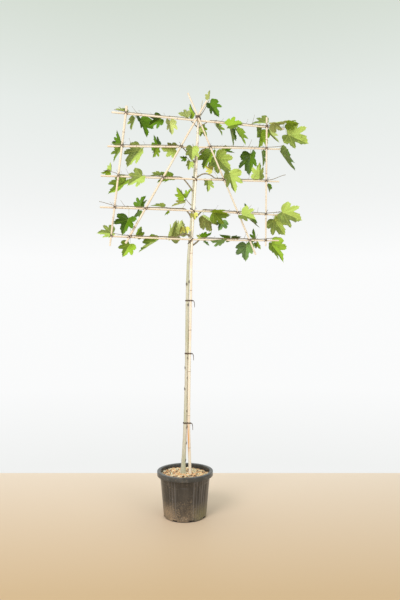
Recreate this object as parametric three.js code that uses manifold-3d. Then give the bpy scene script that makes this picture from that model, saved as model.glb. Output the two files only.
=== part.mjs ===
// A young London plane, espaliered flat on a frame of bamboo canes and grown in a black nursery pot.
// Millimetres, +Z up. The origin is the centre of the pot's flat underside.
// The crown spreads along X, and its front faces -Y.
import * as THREE from "three";
import Module from "manifold-3d";

const wasm = await Module();
wasm.setup();

// Driving dimensions

const TOUCH = 0.3; // left between two pieces that touch

const POT = {
  height: 304,
  rimRadius: 188,
  mouthRadius: 164,
  lipHeight: 31,
  lipWall: 4,
  wallTopRadius: 169.5,
  footRadius: 143,
  wall: 3.5,
  floor: 5,
  drains: 8,
  drainWidth: 34,
  drainHeight: 11,
  drainDepth: 12,
};
const SOIL = { surface: 276, flatRadius: 82, edgeFall: 6 };

// The post stands in the pot beside the trunk and carries the frame. Its front face is plumb.
const POST = { topZ: 2692, footRadius: 10, topRadius: 7, frontY: -8 };
// Height, and X of the centre line.
const POST_LINE = [
  [276, 34],
  [621, 25],
  [1451, 38],
  [1843, 46],
  [2281, 73],
  [2692, 90],
];

// Height, X of the centre line, and radius.
const TRUNK_LINE = [
  [276, -15, 14],
  [621, 1.5, 12.6],
  [1060, 11, 12],
  [1451, 15, 11],
  [1694, 21, 10],
  [1843, 30, 9.3],
  [2045, 46, 8.4],
  [2281, 60, 7.4],
  [2531, 80, 5.8],
  [2660, 97, 4.6],
  [2797, 117, 2.4],
];
const TRUNK = { topZ: 2797, flare: 8, flareHeight: 45, seed: 17, knotSwell: 1.3 };

const RAIL = { leftRadius: 6.4, postRadius: 6, rightRadius: 5.2, knotSwell: 0.7 };
// The sag lifts a rail's middle above the straight line; the lashing at the post rises or falls to the right.
const RAILS = [
  { left: [-493, 2713], right: [668, 2600], bow: 0, lash: 0 },
  { left: [-521, 2484], right: [636, 2464], bow: 4, lash: -1 },
  { left: [-566, 2286], right: [632, 2246], bow: -2, lash: -1 },
  { left: [-572, 2075], right: [631, 2021], bow: 3, lash: -1 },
  { left: [-498, 1880], right: [631, 1850], bow: -8, lash: 1 },
];
const UPRIGHTS = [
  { name: "left_upright", top: [-390, 2748], foot: [-503, 1812], topRadius: 8.2, footRadius: 6 },
  { name: "right_upright", top: [548, 2672], foot: [541, 1812], topRadius: 6.6, footRadius: 5 },
];
const RAKES = [
  { name: "left_rake", top: [146, 2784], foot: [-398, 1828], topRadius: 6.4, footRadius: 7.6, over: 0 },
  { name: "right_rake", top: [20, 2830], foot: [474, 1754], topRadius: 5.2, footRadius: 6.2, over: 1 },
];
const APEX = { z: 2672, band: 8, reach: 200 };

const TIE = { height: 9, wall: 1.5, slack: 0.35, trunkHeights: [621, 1090, 1447], wire: 1.7, tail: 46 };

// A shoot is tied along each half of a rail. Its bough leaves the trunk at a height told above the rail
// and comes to lie on the rail at the distance told from the post; the shoot runs on to its reach
// and lifts off the rail at its tip. Its leaves, behind the canes and in front of them, are told as
// [distance of the heel from the post, height of the heel above the shoot, length, lean, turn]:
// the lean is the angle of the midrib from straight down, in degrees towards +X,
// and the turn is the blade's about its midrib, + where the edge that the lean leads to goes back.
const SHOOTS = [
  {
    name: "1_left", rail: 0, side: -1, root: -46, from: 74, reach: 560, lift: 8, seed: 11,
    behind: [
      [192, -22, 90, 8, 45], [402, -14, 128, 20, 82], [432, -22, 80, -18, -66],
      [74, 13, 75, -106, -35], [262, -8, 88, -60, 15], [493, 13, 74, -104, -72],
    ],
    front: [],
  },
  {
    name: "1_right", rail: 0, side: 1, root: -40, from: 92, reach: 606, lift: 4, seed: 12,
    behind: [
      [116, -12, 80, 34, 85], [212, -38, 112, 4, 74], [264, -26, 122, 30, 72],
      [433, -8, 122, -7, 84], [474, -30, 98, 38, 60], [610, -38, 150, 60, 0],
      [461, 46, 103, -80, -60],
    ],
    front: [[206, -34, 100, 109, 30], [488, -2, 146, 97, -84]],
  },
  {
    name: "2_left", rail: 1, side: -1, root: -100, from: 142, reach: 575, lift: 6, seed: 21,
    behind: [
      [284, -10, 62, -25, 62], [518, -23, 94, -36, -60], [157, -8, 94, -90, 40],
      [262, 10, 90, -164, 60], [389, -12, 152, -38, -38], [513, 26, 85, -165, 62],
      [532, 32, 60, -104, 60],
    ],
    front: [],
  },
  {
    name: "2_right", rail: 1, side: 1, root: -52, from: 88, reach: 575, lift: 14, seed: 22,
    behind: [
      [92, -28, 122, -23, -58], [134, -52, 138, 48, -30], [184, -8, 78, 80, 64],
      [366, -32, 142, 2, -70], [442, -20, 98, 6, 85], [568, -38, 150, 23, 70],
    ],
    front: [],
  },
  {
    name: "3_left", rail: 2, side: -1, root: -80, from: 118, reach: 590, lift: 26, seed: 31,
    behind: [
      [480, -30, 150, -44, -76], [164, 6, 106, -75, -50], [243, 12, 76, -88, -74],
      [594, 8, 56, -82, 62], [580, 30, 50, 172, 50],
    ],
    front: [[362, -12, 114, -59, -20]],
  },
  {
    name: "3_right", rail: 2, side: 1, root: 26, from: 140, reach: 596, lift: 36, seed: 32,
    behind: [
      [78, -12, 80, 6, 38], [484, -32, 54, 14, 70], [105, 62, 54, -119, 45],
      [430, 26, 104, 178, 45],
    ],
    front: [[228, 22, 128, 12, 25]],
  },
  {
    name: "4_left", rail: 3, side: -1, root: -44, from: 70, reach: 630, lift: 25, seed: 41,
    behind: [
      [378, -16, 60, -37, 60], [446, -84, 124, -14, -4], [70, 46, 93, -68, -70],
      [214, 12, 87, -86, -80], [365, 14, 88, 156, 35], [179, -12, 38, -45, 70],
    ],
    front: [],
  },
  {
    name: "4_right", rail: 3, side: 1, root: -56, from: 76, reach: 590, lift: 12, seed: 42,
    behind: [
      [72, -30, 140, 72, -70], [188, -66, 74, -20, 10], [379, -46, 86, 50, 66],
      [552, -40, 128, 38, -35], [366, 32, 46, -150, 60],
    ],
    front: [[133, -30, 112, 91, -70], [326, -30, 98, 62, 22], [590, -8, 142, 74, 0]],
  },
  {
    name: "5_left", rail: 4, side: -1, root: 22, from: 110, reach: 532, lift: 10, seed: 51,
    behind: [
      [250, -22, 150, -55, -82], [430, -60, 98, -24, 0], [92, 38, 100, 169, -50],
      [150, 6, 130, 172, -86], [376, 10, 74, 158, -66], [546, 10, 104, -90, -48],
    ],
    front: [],
  },
  {
    name: "5_right", rail: 4, side: 1, root: -40, from: 74, reach: 590, lift: 12, seed: 52,
    behind: [
      [372, -36, 112, -6, -15], [438, -22, 52, 36, -65], [545, -40, 148, 37, 48],
      [76, 8, 68, 115, 60], [250, 28, 69, -109, 75], [272, 22, 60, 93, -70], [438, 6, 79, 178, 80],
      [84, -24, 44, 58, 60], [66, 20, 40, -120, 40],
    ],
    front: [[202, -8, 92, -84, 75]],
  },
];

// Leafy spurs that start on the trunk: height, heading in degrees round it (0 is +X, 90 is the back),
// climb in degrees, length, and leaves as [distance along the spur, length, lean, turn].
const SPURS = [
  {
    name: "leader", z: 2694, heading: 12, climb: 61, length: 120, radius: 2.7, depth: 1, seed: 71,
    leaves: [[116, 106, 32, 28], [118, 58, 171, 66]],
  },
  {
    name: "top_left", z: 2692, heading: 172, climb: 14, length: 26, radius: 2.2, depth: 1, seed: 72,
    leaves: [[24, 84, -160, 80]],
  },
  {
    name: "1_spur", z: 2652, heading: 80, climb: 10, length: 24, radius: 2, depth: 1, seed: 78,
    leaves: [[14, 54, -6, 60], [22, 74, 36, -72]],
  },
  {
    name: "2_front", z: 2424, heading: 255, climb: 42, length: 80, radius: 2.6, depth: -1, seed: 77,
    leaves: [[76, 82, -6, 0]],
  },
  {
    name: "2_spur", z: 2354, heading: 200, climb: 46, length: 60, radius: 2.6, depth: -1, seed: 73,
    leaves: [[34, 54, -15, 35], [42, 42, -100, 57]],
  },
  {
    name: "4_spur", z: 2086, heading: 176, climb: 50, length: 60, radius: 2.8, depth: 1, seed: 74,
    leaves: [[54, 82, -139, 70], [58, 69, 153, 70]],
  },
  {
    name: "4_front", z: 2016, heading: 296, climb: 32, length: 36, radius: 2.2, depth: -1, seed: 76,
    leaves: [[34, 50, 7, 0]],
  },
  {
    name: "5_spur", z: 1930, heading: 196, climb: 24, length: 48, radius: 2.4, depth: -1, seed: 75,
    leaves: [[28, 44, 20, 30], [46, 44, -20, 40]],
  },
];

// A bough's and a shoot's radius are shares of the trunk's there; each shoot also bears some bare twigs.
const SHOOT = { atTrunk: 0.62, start: 0.46, tip: 1.6, step: 64, twigs: 2, twigLength: 34, twigRadius: 1.4 };
const LEAF = { thick: 1 / 50, petiole: 1.5, spur: 2.3, clear: 3, tries: 24 };
const STALK = 22; // how far a leaf's root lies behind its heel along the shoot
const DEPTH = { behindY: 3, frontY: -36, spread: 22 }; // where the leaves' heels lie, behind or in front

// Half of the leaf's outline, from the tip to the heel: degrees from the midrib, radius over length,
// and what a fully webbed leaf adds to the radius.
const OUTLINE = [
  [0, 1, 0],
  [16, 0.74, 0.04],
  [27, 0.5, 0.17],
  [43, 0.8, 0],
  [64, 0.47, 0.13],
  [90, 0.55, 0],
  [132, 0.34, 0.03],
  [180, 0.07, 0],
];

// Numbers and vectors

const vec = (x, y, z) => new THREE.Vector3(x, y, z);
const radians = THREE.MathUtils.degToRad;
const mix = (a, b, t) => a + (b - a) * t;
const clamp = (t) => Math.min(1, Math.max(0, t));
const ease = (t) => clamp(t) * clamp(t) * (3 - 2 * clamp(t));

// Park and Miller's generator: the same seed always gives the same draws.
function seeded(seed) {
  let state = (seed * 7919) % 2147483647;
  return () => {
    state = (state * 48271) % 2147483647;
    return state / 2147483647;
  };
}

// A smooth curve through a table whose rows begin with the height: column c at height z.
function along(table, z, c) {
  const last = table.length - 1;
  let i = 0;
  while (i < last - 1 && z > table[i + 1][0]) i += 1;
  const slope = (k) => {
    const a = table[Math.max(0, k - 1)];
    const b = table[Math.min(last, k + 1)];
    return (b[c] - a[c]) / (b[0] - a[0]);
  };
  const [p, q] = [table[i], table[i + 1]];
  const h = q[0] - p[0];
  const t = clamp((z - p[0]) / h);
  const keep = (1 + 2 * t) * (1 - t) * (1 - t);
  const start = t * (1 - t) * (1 - t) * h;
  const end = t * t * (t - 1) * h;
  return keep * p[c] + start * slope(i) + (1 - keep) * q[c] + end * slope(i + 1);
}

// Solids

function solidFrom(positions, faces) {
  const geometry = new THREE.BufferGeometry();
  geometry.setAttribute("position", new THREE.Float32BufferAttribute(positions, 3));
  geometry.setIndex(faces);
  return geometry;
}

// A round limb along a line of points with a radius at each; a ridge of its facets faces -Y.
// Its first end can be cut square to a way of its own.
function limb(points, radii, sides, square = null) {
  const positions = [];
  const faces = [];
  let across = vec(0, -1, 0);
  points.forEach((point, i) => {
    const before = points[Math.max(0, i - 1)];
    const after = points[Math.min(points.length - 1, i + 1)];
    const way = square && i === 0 ? square.clone() : after.clone().sub(before).normalize();
    across.addScaledVector(way, -across.dot(way));
    if (across.length() < 0.2) across = vec(1, 0, 0).addScaledVector(way, -way.x);
    across.normalize();
    const other = way.clone().cross(across);
    for (let k = 0; k < sides; k += 1) {
      const turn = (2 * Math.PI * k) / sides;
      const rim = point.clone();
      rim.addScaledVector(across, radii[i] * Math.cos(turn));
      rim.addScaledVector(other, radii[i] * Math.sin(turn));
      positions.push(rim.x, rim.y, rim.z);
    }
  });
  const rings = points.length;
  for (let i = 0; i < rings - 1; i += 1) {
    for (let k = 0; k < sides; k += 1) {
      const a = i * sides + k;
      const b = i * sides + ((k + 1) % sides);
      faces.push(a, b, b + sides, a, b + sides, a + sides);
    }
  }
  for (let k = 1; k < sides - 1; k += 1) {
    const end = (rings - 1) * sides;
    faces.push(0, k + 1, k, end, end + k, end + k + 1);
  }
  return solidFrom(positions, faces);
}

function toManifold(geometry) {
  const mesh = new wasm.Mesh({
    numProp: 3,
    vertProperties: new Float32Array(geometry.attributes.position.array),
    triVerts: new Uint32Array(geometry.index.array),
  });
  return new wasm.Manifold(mesh);
}

// The largest closed piece of a solid: loose scrap is dropped, and a sealed hollow is filled.
function largestPiece(solid) {
  const mesh = solid.getMesh();
  const faces = Array.from(mesh.triVerts);
  const count = mesh.vertProperties.length / 3;
  const parent = Array.from({ length: count }, (unused, i) => i);
  const find = (i) => {
    while (parent[i] !== i) {
      parent[i] = parent[parent[i]];
      i = parent[i];
    }
    return i;
  };
  for (let f = 0; f < faces.length; f += 3) {
    parent[find(faces[f])] = find(faces[f + 1]);
    parent[find(faces[f + 1])] = find(faces[f + 2]);
  }
  const at = (i) => vec(...mesh.vertProperties.slice(3 * i, 3 * i + 3));
  const volume = new Map();
  for (let f = 0; f < faces.length; f += 3) {
    const [a, b, c] = [at(faces[f]), at(faces[f + 1]), at(faces[f + 2])];
    const key = find(faces[f]);
    volume.set(key, (volume.get(key) || 0) + a.dot(b.cross(c)) / 6);
  }
  const best = [...volume.keys()].sort((a, b) => volume.get(b) - volume.get(a))[0];
  const index = new Map();
  const positions = [];
  const kept = [];
  faces.forEach((v) => {
    if (find(v) !== best) return;
    if (!index.has(v)) {
      index.set(v, positions.length / 3);
      positions.push(...mesh.vertProperties.slice(3 * v, 3 * v + 3));
    }
    kept.push(index.get(v));
  });
  return solidFrom(positions, kept);
}

// Solids made one, with the smallest slivers where they meet smoothed away.
function joined(geometries) {
  let solid = toManifold(geometries[0]);
  geometries.slice(1).forEach((geometry) => {
    solid = solid.add(toManifold(geometry));
  });
  return solid.simplify(TOUCH / 3);
}

// Distances between limbs and leaves

// A stretch of limb: two ends and a radius.
function stretches(points, radii, owner) {
  return points.slice(1).map((b, i) => ({ a: points[i], b, r: Math.max(radii[i], radii[i + 1]), owner }));
}

// The shortest distance between the segments p1-q1 and p2-q2.
function segmentGap(p1, q1, p2, q2) {
  const d1 = q1.clone().sub(p1);
  const d2 = q2.clone().sub(p2);
  const r = p1.clone().sub(p2);
  const a = d1.dot(d1);
  const e = d2.dot(d2);
  const b = d1.dot(d2);
  const c = d1.dot(r);
  const f = d2.dot(r);
  const denominator = a * e - b * b;
  let s = denominator > 1e-9 ? clamp((b * f - c * e) / denominator) : 0;
  let t = (b * s + f) / e;
  if (t < 0 || t > 1) {
    t = clamp(t);
    s = clamp((b * t - c) / a);
  }
  return r.addScaledVector(d1, s).addScaledVector(d2, -t).length();
}

// Whether the segment p-q passes through the triangle, or an end of it comes within a margin of its inside.
function pierces(p, q, triangle, margin) {
  const [a, b, c] = triangle;
  const u = b.clone().sub(a);
  const v = c.clone().sub(a);
  const n = u.clone().cross(v).normalize();
  const inside = (point) => {
    const w = point.clone().sub(a);
    const uu = u.dot(u);
    const vv = v.dot(v);
    const uv = u.dot(v);
    const wu = w.dot(u);
    const wv = w.dot(v);
    const d = uu * vv - uv * uv;
    const s = (wu * vv - wv * uv) / d;
    const t = (wv * uu - wu * uv) / d;
    return s >= 0 && t >= 0 && s + t <= 1;
  };
  const hp = p.clone().sub(a).dot(n);
  const hq = q.clone().sub(a).dot(n);
  if (Math.abs(hp) < margin && inside(p)) return true;
  if (Math.abs(hq) < margin && inside(q)) return true;
  if (hp * hq >= 0) return false;
  return inside(p.clone().lerp(q, hp / (hp - hq)));
}

function boxOf(points) {
  return new THREE.Box3().setFromPoints(points);
}

// A leaf counts as clear of a stretch of limb when neither its edges nor its rays come near it.
function leafMeetsStretch(leaf, stretch, margin) {
  const { a, b, r } = stretch;
  const reach = r + margin;
  if (!boxOf([a, b]).expandByScalar(reach).intersectsBox(leaf.box)) return false;
  if (leaf.segments.some(([p, q]) => segmentGap(p, q, a, b) < reach)) return true;
  return leaf.triangles.some((triangle) => pierces(a, b, triangle, reach));
}

function leavesMeet(one, two, margin) {
  if (!one.box.clone().expandByScalar(margin).intersectsBox(two.box)) return false;
  const near = ([p, q]) => two.segments.some(([u, v]) => segmentGap(p, q, u, v) < margin);
  const through = ([p, q], leaf) => leaf.triangles.some((triangle) => pierces(p, q, triangle, margin));
  return (
    one.segments.some(near) ||
    one.segments.some((segment) => through(segment, two)) ||
    two.segments.some((segment) => through(segment, one))
  );
}

// The frame of canes

const postShare = (z) => (z - SOIL.surface) / (POST.topZ - SOIL.surface);
const postRadius = (z) => mix(POST.footRadius, POST.topRadius, postShare(z));
const postX = (z) => along(POST_LINE, z, 1);
const postAt = (z) => vec(postX(z), POST.frontY + postRadius(z), z);

// The rails lie on the post's front; the uprights and rakes lie on the rails' front.
const RAIL_BACK_Y = POST.frontY - TOUCH;
const CONTACT_Y = RAIL_BACK_Y - 2 * RAIL.postRadius - TOUCH / 2;

// Fraction of a rail's length at which it passes x, and its height there.
function railSpot(rail, x) {
  const t = (x - rail.left[0]) / (rail.right[0] - rail.left[0]);
  const z = mix(rail.left[1], rail.right[1], t) + rail.bow * 4 * t * (1 - t);
  return { t, z };
}

function railRadius(rail, x) {
  const middle = postX(rail.left[1]);
  if (x < middle) return mix(RAIL.postRadius, RAIL.leftRadius, (middle - x) / (middle - rail.left[0]));
  return mix(RAIL.postRadius, RAIL.rightRadius, (x - middle) / (rail.right[0] - middle));
}

function railAt(rail, x) {
  const radius = railRadius(rail, x);
  return { point: vec(x, CONTACT_Y + TOUCH / 2 + radius, railSpot(rail, x).z), radius };
}

// The height at which a straight cane passes x, or the x at which it passes a height.
function caneX(cane, z) {
  return mix(cane.foot[0], cane.top[0], (z - cane.foot[1]) / (cane.top[1] - cane.foot[1]));
}

// The rakes cross at the apex; the one that goes over bows out in front of the other.
const underRadius = mix(RAKES[0].footRadius, RAKES[0].topRadius, 0.88);

function frontCaneAt(cane, z) {
  const t = (z - cane.foot[1]) / (cane.top[1] - cane.foot[1]);
  const radius = mix(cane.footRadius, cane.topRadius, t);
  const rise = ease((z - APEX.z + APEX.reach) / (APEX.reach - 30));
  const over = (cane.over || 0) * (2 * underRadius + 2 * TOUCH) * rise;
  return { point: vec(caneX(cane, z), CONTACT_Y - TOUCH / 2 - radius - over, z), radius };
}

// A cane swells a little at its knots; none is placed where another cane is tied on.
function cane(at, from, to, crossings, spacing, seed) {
  const draw = seeded(seed);
  const length = Math.abs(to - from);
  const count = Math.round(length / spacing);
  const stations = [from, to];
  const knots = [];
  for (let i = 0; i < count; i += 1) {
    const s = mix(from, to, (i + 0.3 + 0.4 * draw()) / count);
    if (crossings.every((c) => Math.abs(c - s) > 22)) knots.push(s);
  }
  knots.forEach((s) => stations.push(s - 5, s, s + 5));
  crossings.forEach((c) => stations.push(c));
  stations.sort((a, b) => (to > from ? a - b : b - a));
  const spots = stations.map((s) => at(s));
  const points = spots.map((spot) => spot.point);
  const radii = spots.map((spot, i) => spot.radius + (knots.includes(stations[i]) ? RAIL.knotSwell : 0));
  return { points, radii };
}

const nodes = [];
const solids = [];

function addNode(name, geometry, look) {
  const flat = geometry.toNonIndexed();
  flat.computeVertexNormals();
  const material = new THREE.MeshStandardMaterial({
    color: look.color,
    roughness: look.roughness,
    metalness: 0,
    side: THREE.FrontSide,
  });
  const mesh = new THREE.Mesh(flat, material);
  mesh.name = name;
  nodes.push(mesh);
}

const LOOKS = {
  cane: { color: 0xd9b98e, roughness: 0.5 },
  bark: { color: 0x9c8a6c, roughness: 0.8 },
  shoot: { color: 0x8a7a4a, roughness: 0.7 },
  leaf: { color: 0x6f9a3c, roughness: 0.55 },
  young: { color: 0xa9bd4a, roughness: 0.55 },
  pot: { color: 0x1d1e20, roughness: 0.5 },
  soil: { color: 0x8a6244, roughness: 0.95 },
  tie: { color: 0x1b1b1d, roughness: 0.6 },
};

function addCane(name, at, from, to, crossings, seed) {
  const { points, radii } = cane(at, from, to, crossings, 320, seed);
  addNode(name, limb(points, radii, 7), LOOKS.cane);
  solids.push(...stretches(points, radii, name));
  return { points, radii };
}

// X where a front cane crosses a rail.
function crossingX(rail, front) {
  let x = front.foot[0];
  for (let i = 0; i < 12; i += 1) x = caneX(front, railSpot(rail, x).z);
  return x;
}

const postRings = (grow) => {
  const count = 18;
  const points = [];
  const radii = [];
  for (let i = 0; i <= count; i += 1) {
    const z = mix(SOIL.surface + TOUCH, POST.topZ, i / count);
    points.push(postAt(z));
    radii.push(postRadius(z) + grow);
  }
  return { points, radii };
};

{
  const rings = postRings(0);
  rings.radii = rings.radii.map((r, i) => (i % 3 === 2 ? r : r - TOUCH));
  addNode("post", limb(rings.points, rings.radii, 8, vec(0, 0, 1)), LOOKS.cane);
  solids.push(...stretches(rings.points, rings.radii, "post"));
}
RAILS.forEach((rail, i) => {
  const crossings = [...UPRIGHTS, ...RAKES].map((front) => crossingX(rail, front));
  crossings.push(postX(railSpot(rail, postX(rail.left[1])).z));
  addCane(`rail_${i + 1}`, (x) => railAt(rail, x), rail.left[0], rail.right[0], crossings, 101 + i);
});
[...UPRIGHTS, ...RAKES].forEach((front, i) => {
  const crossings = RAILS.map((rail) => railSpot(rail, crossingX(rail, front)).z);
  addCane(front.name, (z) => frontCaneAt(front, z), front.foot[1], front.top[1], crossings, 111 + i);
});

// The trunk

// The trunk stands beside the post where there is room, and slips behind it where the two come close.
function trunkRadius(z) {
  const flare = TRUNK.flare * Math.exp(-(z - SOIL.surface) / TRUNK.flareHeight);
  return along(TRUNK_LINE, z, 2) + flare;
}

function trunkAt(z) {
  const x = along(TRUNK_LINE, z, 1);
  const post = postAt(Math.min(z, POST.topZ));
  const room = along(TRUNK_LINE, z, 2) + TRUNK.knotSwell + postRadius(Math.min(z, POST.topZ)) + 2 * TOUCH;
  const aside = x - post.x;
  const behind = Math.sqrt(Math.max(0, room * room - aside * aside));
  return vec(x, post.y + behind, z);
}

function trunkRings(grow) {
  const count = 36;
  const draw = seeded(TRUNK.seed);
  const points = [];
  const radii = [];
  for (let i = 0; i <= count; i += 1) {
    const z = mix(SOIL.surface + TOUCH, TRUNK.topZ, i / count);
    const knot = i % 3 === 1 ? TRUNK.knotSwell * draw() * ease((TRUNK.topZ - z) / 900) : 0;
    points.push(trunkAt(z));
    radii.push(trunkRadius(z) + knot + grow);
  }
  return { points, radii };
}

const trunk = trunkRings(0);
addNode("trunk", limb(trunk.points, trunk.radii, 8, vec(0, 0, 1)), LOOKS.bark);
solids.push(...stretches(trunk.points, trunk.radii, "trunk"));

const trunkGrown = trunkRings(TOUCH);
const postGrown = postRings(0);
const trunkSeat = toManifold(limb(trunkGrown.points, trunkGrown.radii, 8));
const postSeat = toManifold(limb(postGrown.points, postGrown.radii, 8));

// What starts on the trunk's axis is cut back to just clear the trunk and the post.
function seated(geometries, extra = []) {
  const cuts = [trunkSeat, postSeat, ...extra.map(toManifold)];
  return largestPiece(cuts.reduce((solid, cut) => solid.subtract(cut), joined(geometries)));
}

// Boughs and shoots

function curveThrough(points, count) {
  const curve = new THREE.CatmullRomCurve3(points, false, "centripetal");
  return curve.getPoints(count);
}

function shootStart(shoot) {
  const rail = RAILS[shoot.rail];
  const z = railSpot(rail, postX(rail.left[1])).z;
  return SHOOT.start * along(TRUNK_LINE, z, 2);
}

// The middle line of a shoot at a distance from the post.
function shootAt(shoot, distance) {
  const rail = RAILS[shoot.rail];
  const x = postX(rail.left[1]) + shoot.side * distance;
  const beyond = shoot.side < 0 ? Math.max(x, rail.left[0]) : Math.min(x, rail.right[0]);
  const spot = railAt(rail, beyond);
  const run = (distance - shoot.from) / (shoot.reach - shoot.from);
  const radius = mix(shootStart(shoot), SHOOT.tip, clamp(run));
  const lift = shoot.lift * ease((run - 0.72) / 0.28) * clamp((run - 0.6) / 0.4);
  const slope = (rail.right[1] - rail.left[1]) / (rail.right[0] - rail.left[0]);
  const z = spot.point.z + slope * (x - beyond) + spot.radius + RAIL.knotSwell + radius + TOUCH + lift;
  return { point: vec(x, spot.point.y, z), radius };
}

// A bough comes up from behind its rail and rolls over it, or comes down on the rail from above.
function boughLine(shoot) {
  const rail = RAILS[shoot.rail];
  const end = shootAt(shoot, shoot.from);
  const axisZ = railSpot(rail, end.point.x).z + shoot.root;
  const start = trunkAt(axisZ);
  const clear = railAt(rail, end.point.x).radius + end.radius + 2 * TOUCH + 0.8;
  const post = postAt(axisZ);
  const pass = post.y + postRadius(axisZ) + end.radius * 1.3 + 3;
  const points = [start];
  const spot = (u, back, height) => {
    const x = mix(post.x, end.point.x, u);
    const railZ = railSpot(rail, x).z;
    points.push(vec(x, end.point.y + back, railZ + height));
  };
  if (shoot.side > 0) points.push(vec(post.x + 3, Math.max(pass, start.y), mix(axisZ, end.point.z, 0.12)));
  if (shoot.root < 0) {
    spot(0.4, clear + 3, shoot.root * 0.45);
    spot(0.6, clear + 1, shoot.root * 0.12);
    spot(0.76, clear * 0.82, clear * 0.6);
    spot(0.9, clear * 0.24, clear * 1.0);
  } else {
    spot(0.3, clear + 2, shoot.root + 12);
    spot(0.52, clear * 0.6, shoot.root + 14);
    spot(0.74, clear * 0.1, shoot.root + 2);
    spot(0.9, 0, clear + 1.5);
  }
  points.push(end.point.clone());
  return curveThrough(points, 8);
}

const shootLines = SHOOTS.map((shoot) => {
  const count = Math.ceil((shoot.reach - shoot.from) / SHOOT.step);
  const points = [];
  const radii = [];
  for (let i = 0; i <= count; i += 1) {
    const spot = shootAt(shoot, mix(shoot.from, shoot.reach, i / count));
    points.push(spot.point);
    radii.push(spot.radius);
  }
  points[0].x += shoot.side * TOUCH;
  return { points, radii };
});

SHOOTS.forEach((shoot, i) => {
  const points = boughLine(shoot);
  const thick = SHOOT.atTrunk * trunkRadius(points[0].z);
  const radii = points.map((unused, k) => mix(thick, shootStart(shoot), ease(k / (points.length - 1))));
  const end = points[points.length - 1];
  const beyond = limb([end, end.clone().add(vec(20 * shoot.side, 0, 0))], [14, 14], 4);
  addNode(`bough_${shoot.name}`, seated([limb(points, radii, 6)], [beyond]), LOOKS.bark);
  solids.push(...stretches(points, radii, `bough_${shoot.name}`));
  solids.push(...stretches(shootLines[i].points, shootLines[i].radii, `leaves_${shoot.name}`));
});

// Leaves

// A leaf at a junction with its stalk: midrib way, sideways way and normal, length, fold, droop and web.
function makeLeaf(junction, way, side, length, fold, droop, web) {
  const normal = side.clone().cross(way);
  const rim = [];
  const push = (degrees, radius) => {
    const w = radius * Math.sin(radians(degrees));
    const l = radius * Math.cos(radians(degrees));
    const n = -fold * Math.abs(w) - droop * radius;
    const point = junction.clone();
    point.addScaledVector(side, w * length).addScaledVector(way, l * length);
    rim.push(point.addScaledVector(normal, n * length));
  };
  OUTLINE.forEach(([degrees, radius, more]) => push(degrees, radius + web * more));
  const back = OUTLINE.slice(1, -1).reverse();
  back.forEach(([degrees, radius, more]) => push(-degrees, radius + web * more));
  const next = (k) => rim[(k + 1) % rim.length];
  const segments = rim.map((point, k) => [point, next(k)]);
  rim.forEach((point) => segments.push([junction, point]));
  const triangles = rim.map((point, k) => [junction, point, next(k)]);
  const box = boxOf([junction, ...rim]);
  return { junction, way, side, normal, length, fold, droop, rim, segments, triangles, box };
}

function bladeSolid(leaf) {
  const half = (leaf.length * LEAF.thick) / 2;
  const positions = [];
  const layer = (shift) => {
    [leaf.junction, ...leaf.rim].forEach((point) => {
      const moved = point.clone().addScaledVector(leaf.normal, shift);
      positions.push(moved.x, moved.y, moved.z);
    });
  };
  layer(half);
  layer(-half);
  const n = leaf.rim.length;
  const faces = [];
  for (let k = 0; k < n; k += 1) {
    const a = 1 + k;
    const b = 1 + ((k + 1) % n);
    const low = n + 1;
    faces.push(0, b, a, low, low + a, low + b, a, b, low + b, a, low + b, low + a);
  }
  return solidFrom(positions, faces);
}

// The stalk leaves the shoot, arches over towards the blade, and runs a little way into its heel.
function stalkLine(root, leaf, rise) {
  const reach = root.distanceTo(leaf.junction);
  const first = root.clone().add(vec(0, 0.3 * (leaf.junction.y - root.y), rise));
  const last = leaf.junction.clone().addScaledVector(leaf.way, -0.09 * leaf.length - 0.25 * reach);
  const ridge = leaf.way.clone().addScaledVector(leaf.normal, leaf.droop);
  const heel = leaf.junction.clone().addScaledVector(leaf.way, -0.09 * leaf.length);
  const curve = new THREE.CubicBezierCurve3(root, first, last, heel);
  const points = curve.getPoints(3);
  points.push(leaf.junction.clone().addScaledVector(ridge, -0.03 * leaf.length));
  return points;
}

const stalkRadii = [1.2, LEAF.spur, 1.7, LEAF.petiole, LEAF.petiole * 0.5];

const allLeaves = [];

function limbsMeet(pieces, others) {
  const near = (one, two) => segmentGap(one.a, one.b, two.a, two.b) < one.r + two.r + 0.8;
  return pieces.some((piece) => others.some((other) => near(piece, other)));
}

function limbMeetsLeaves(pieces) {
  return pieces.some((piece) => allLeaves.some((leaf) => leafMeetsStretch(leaf, piece, 1)));
}

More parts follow.
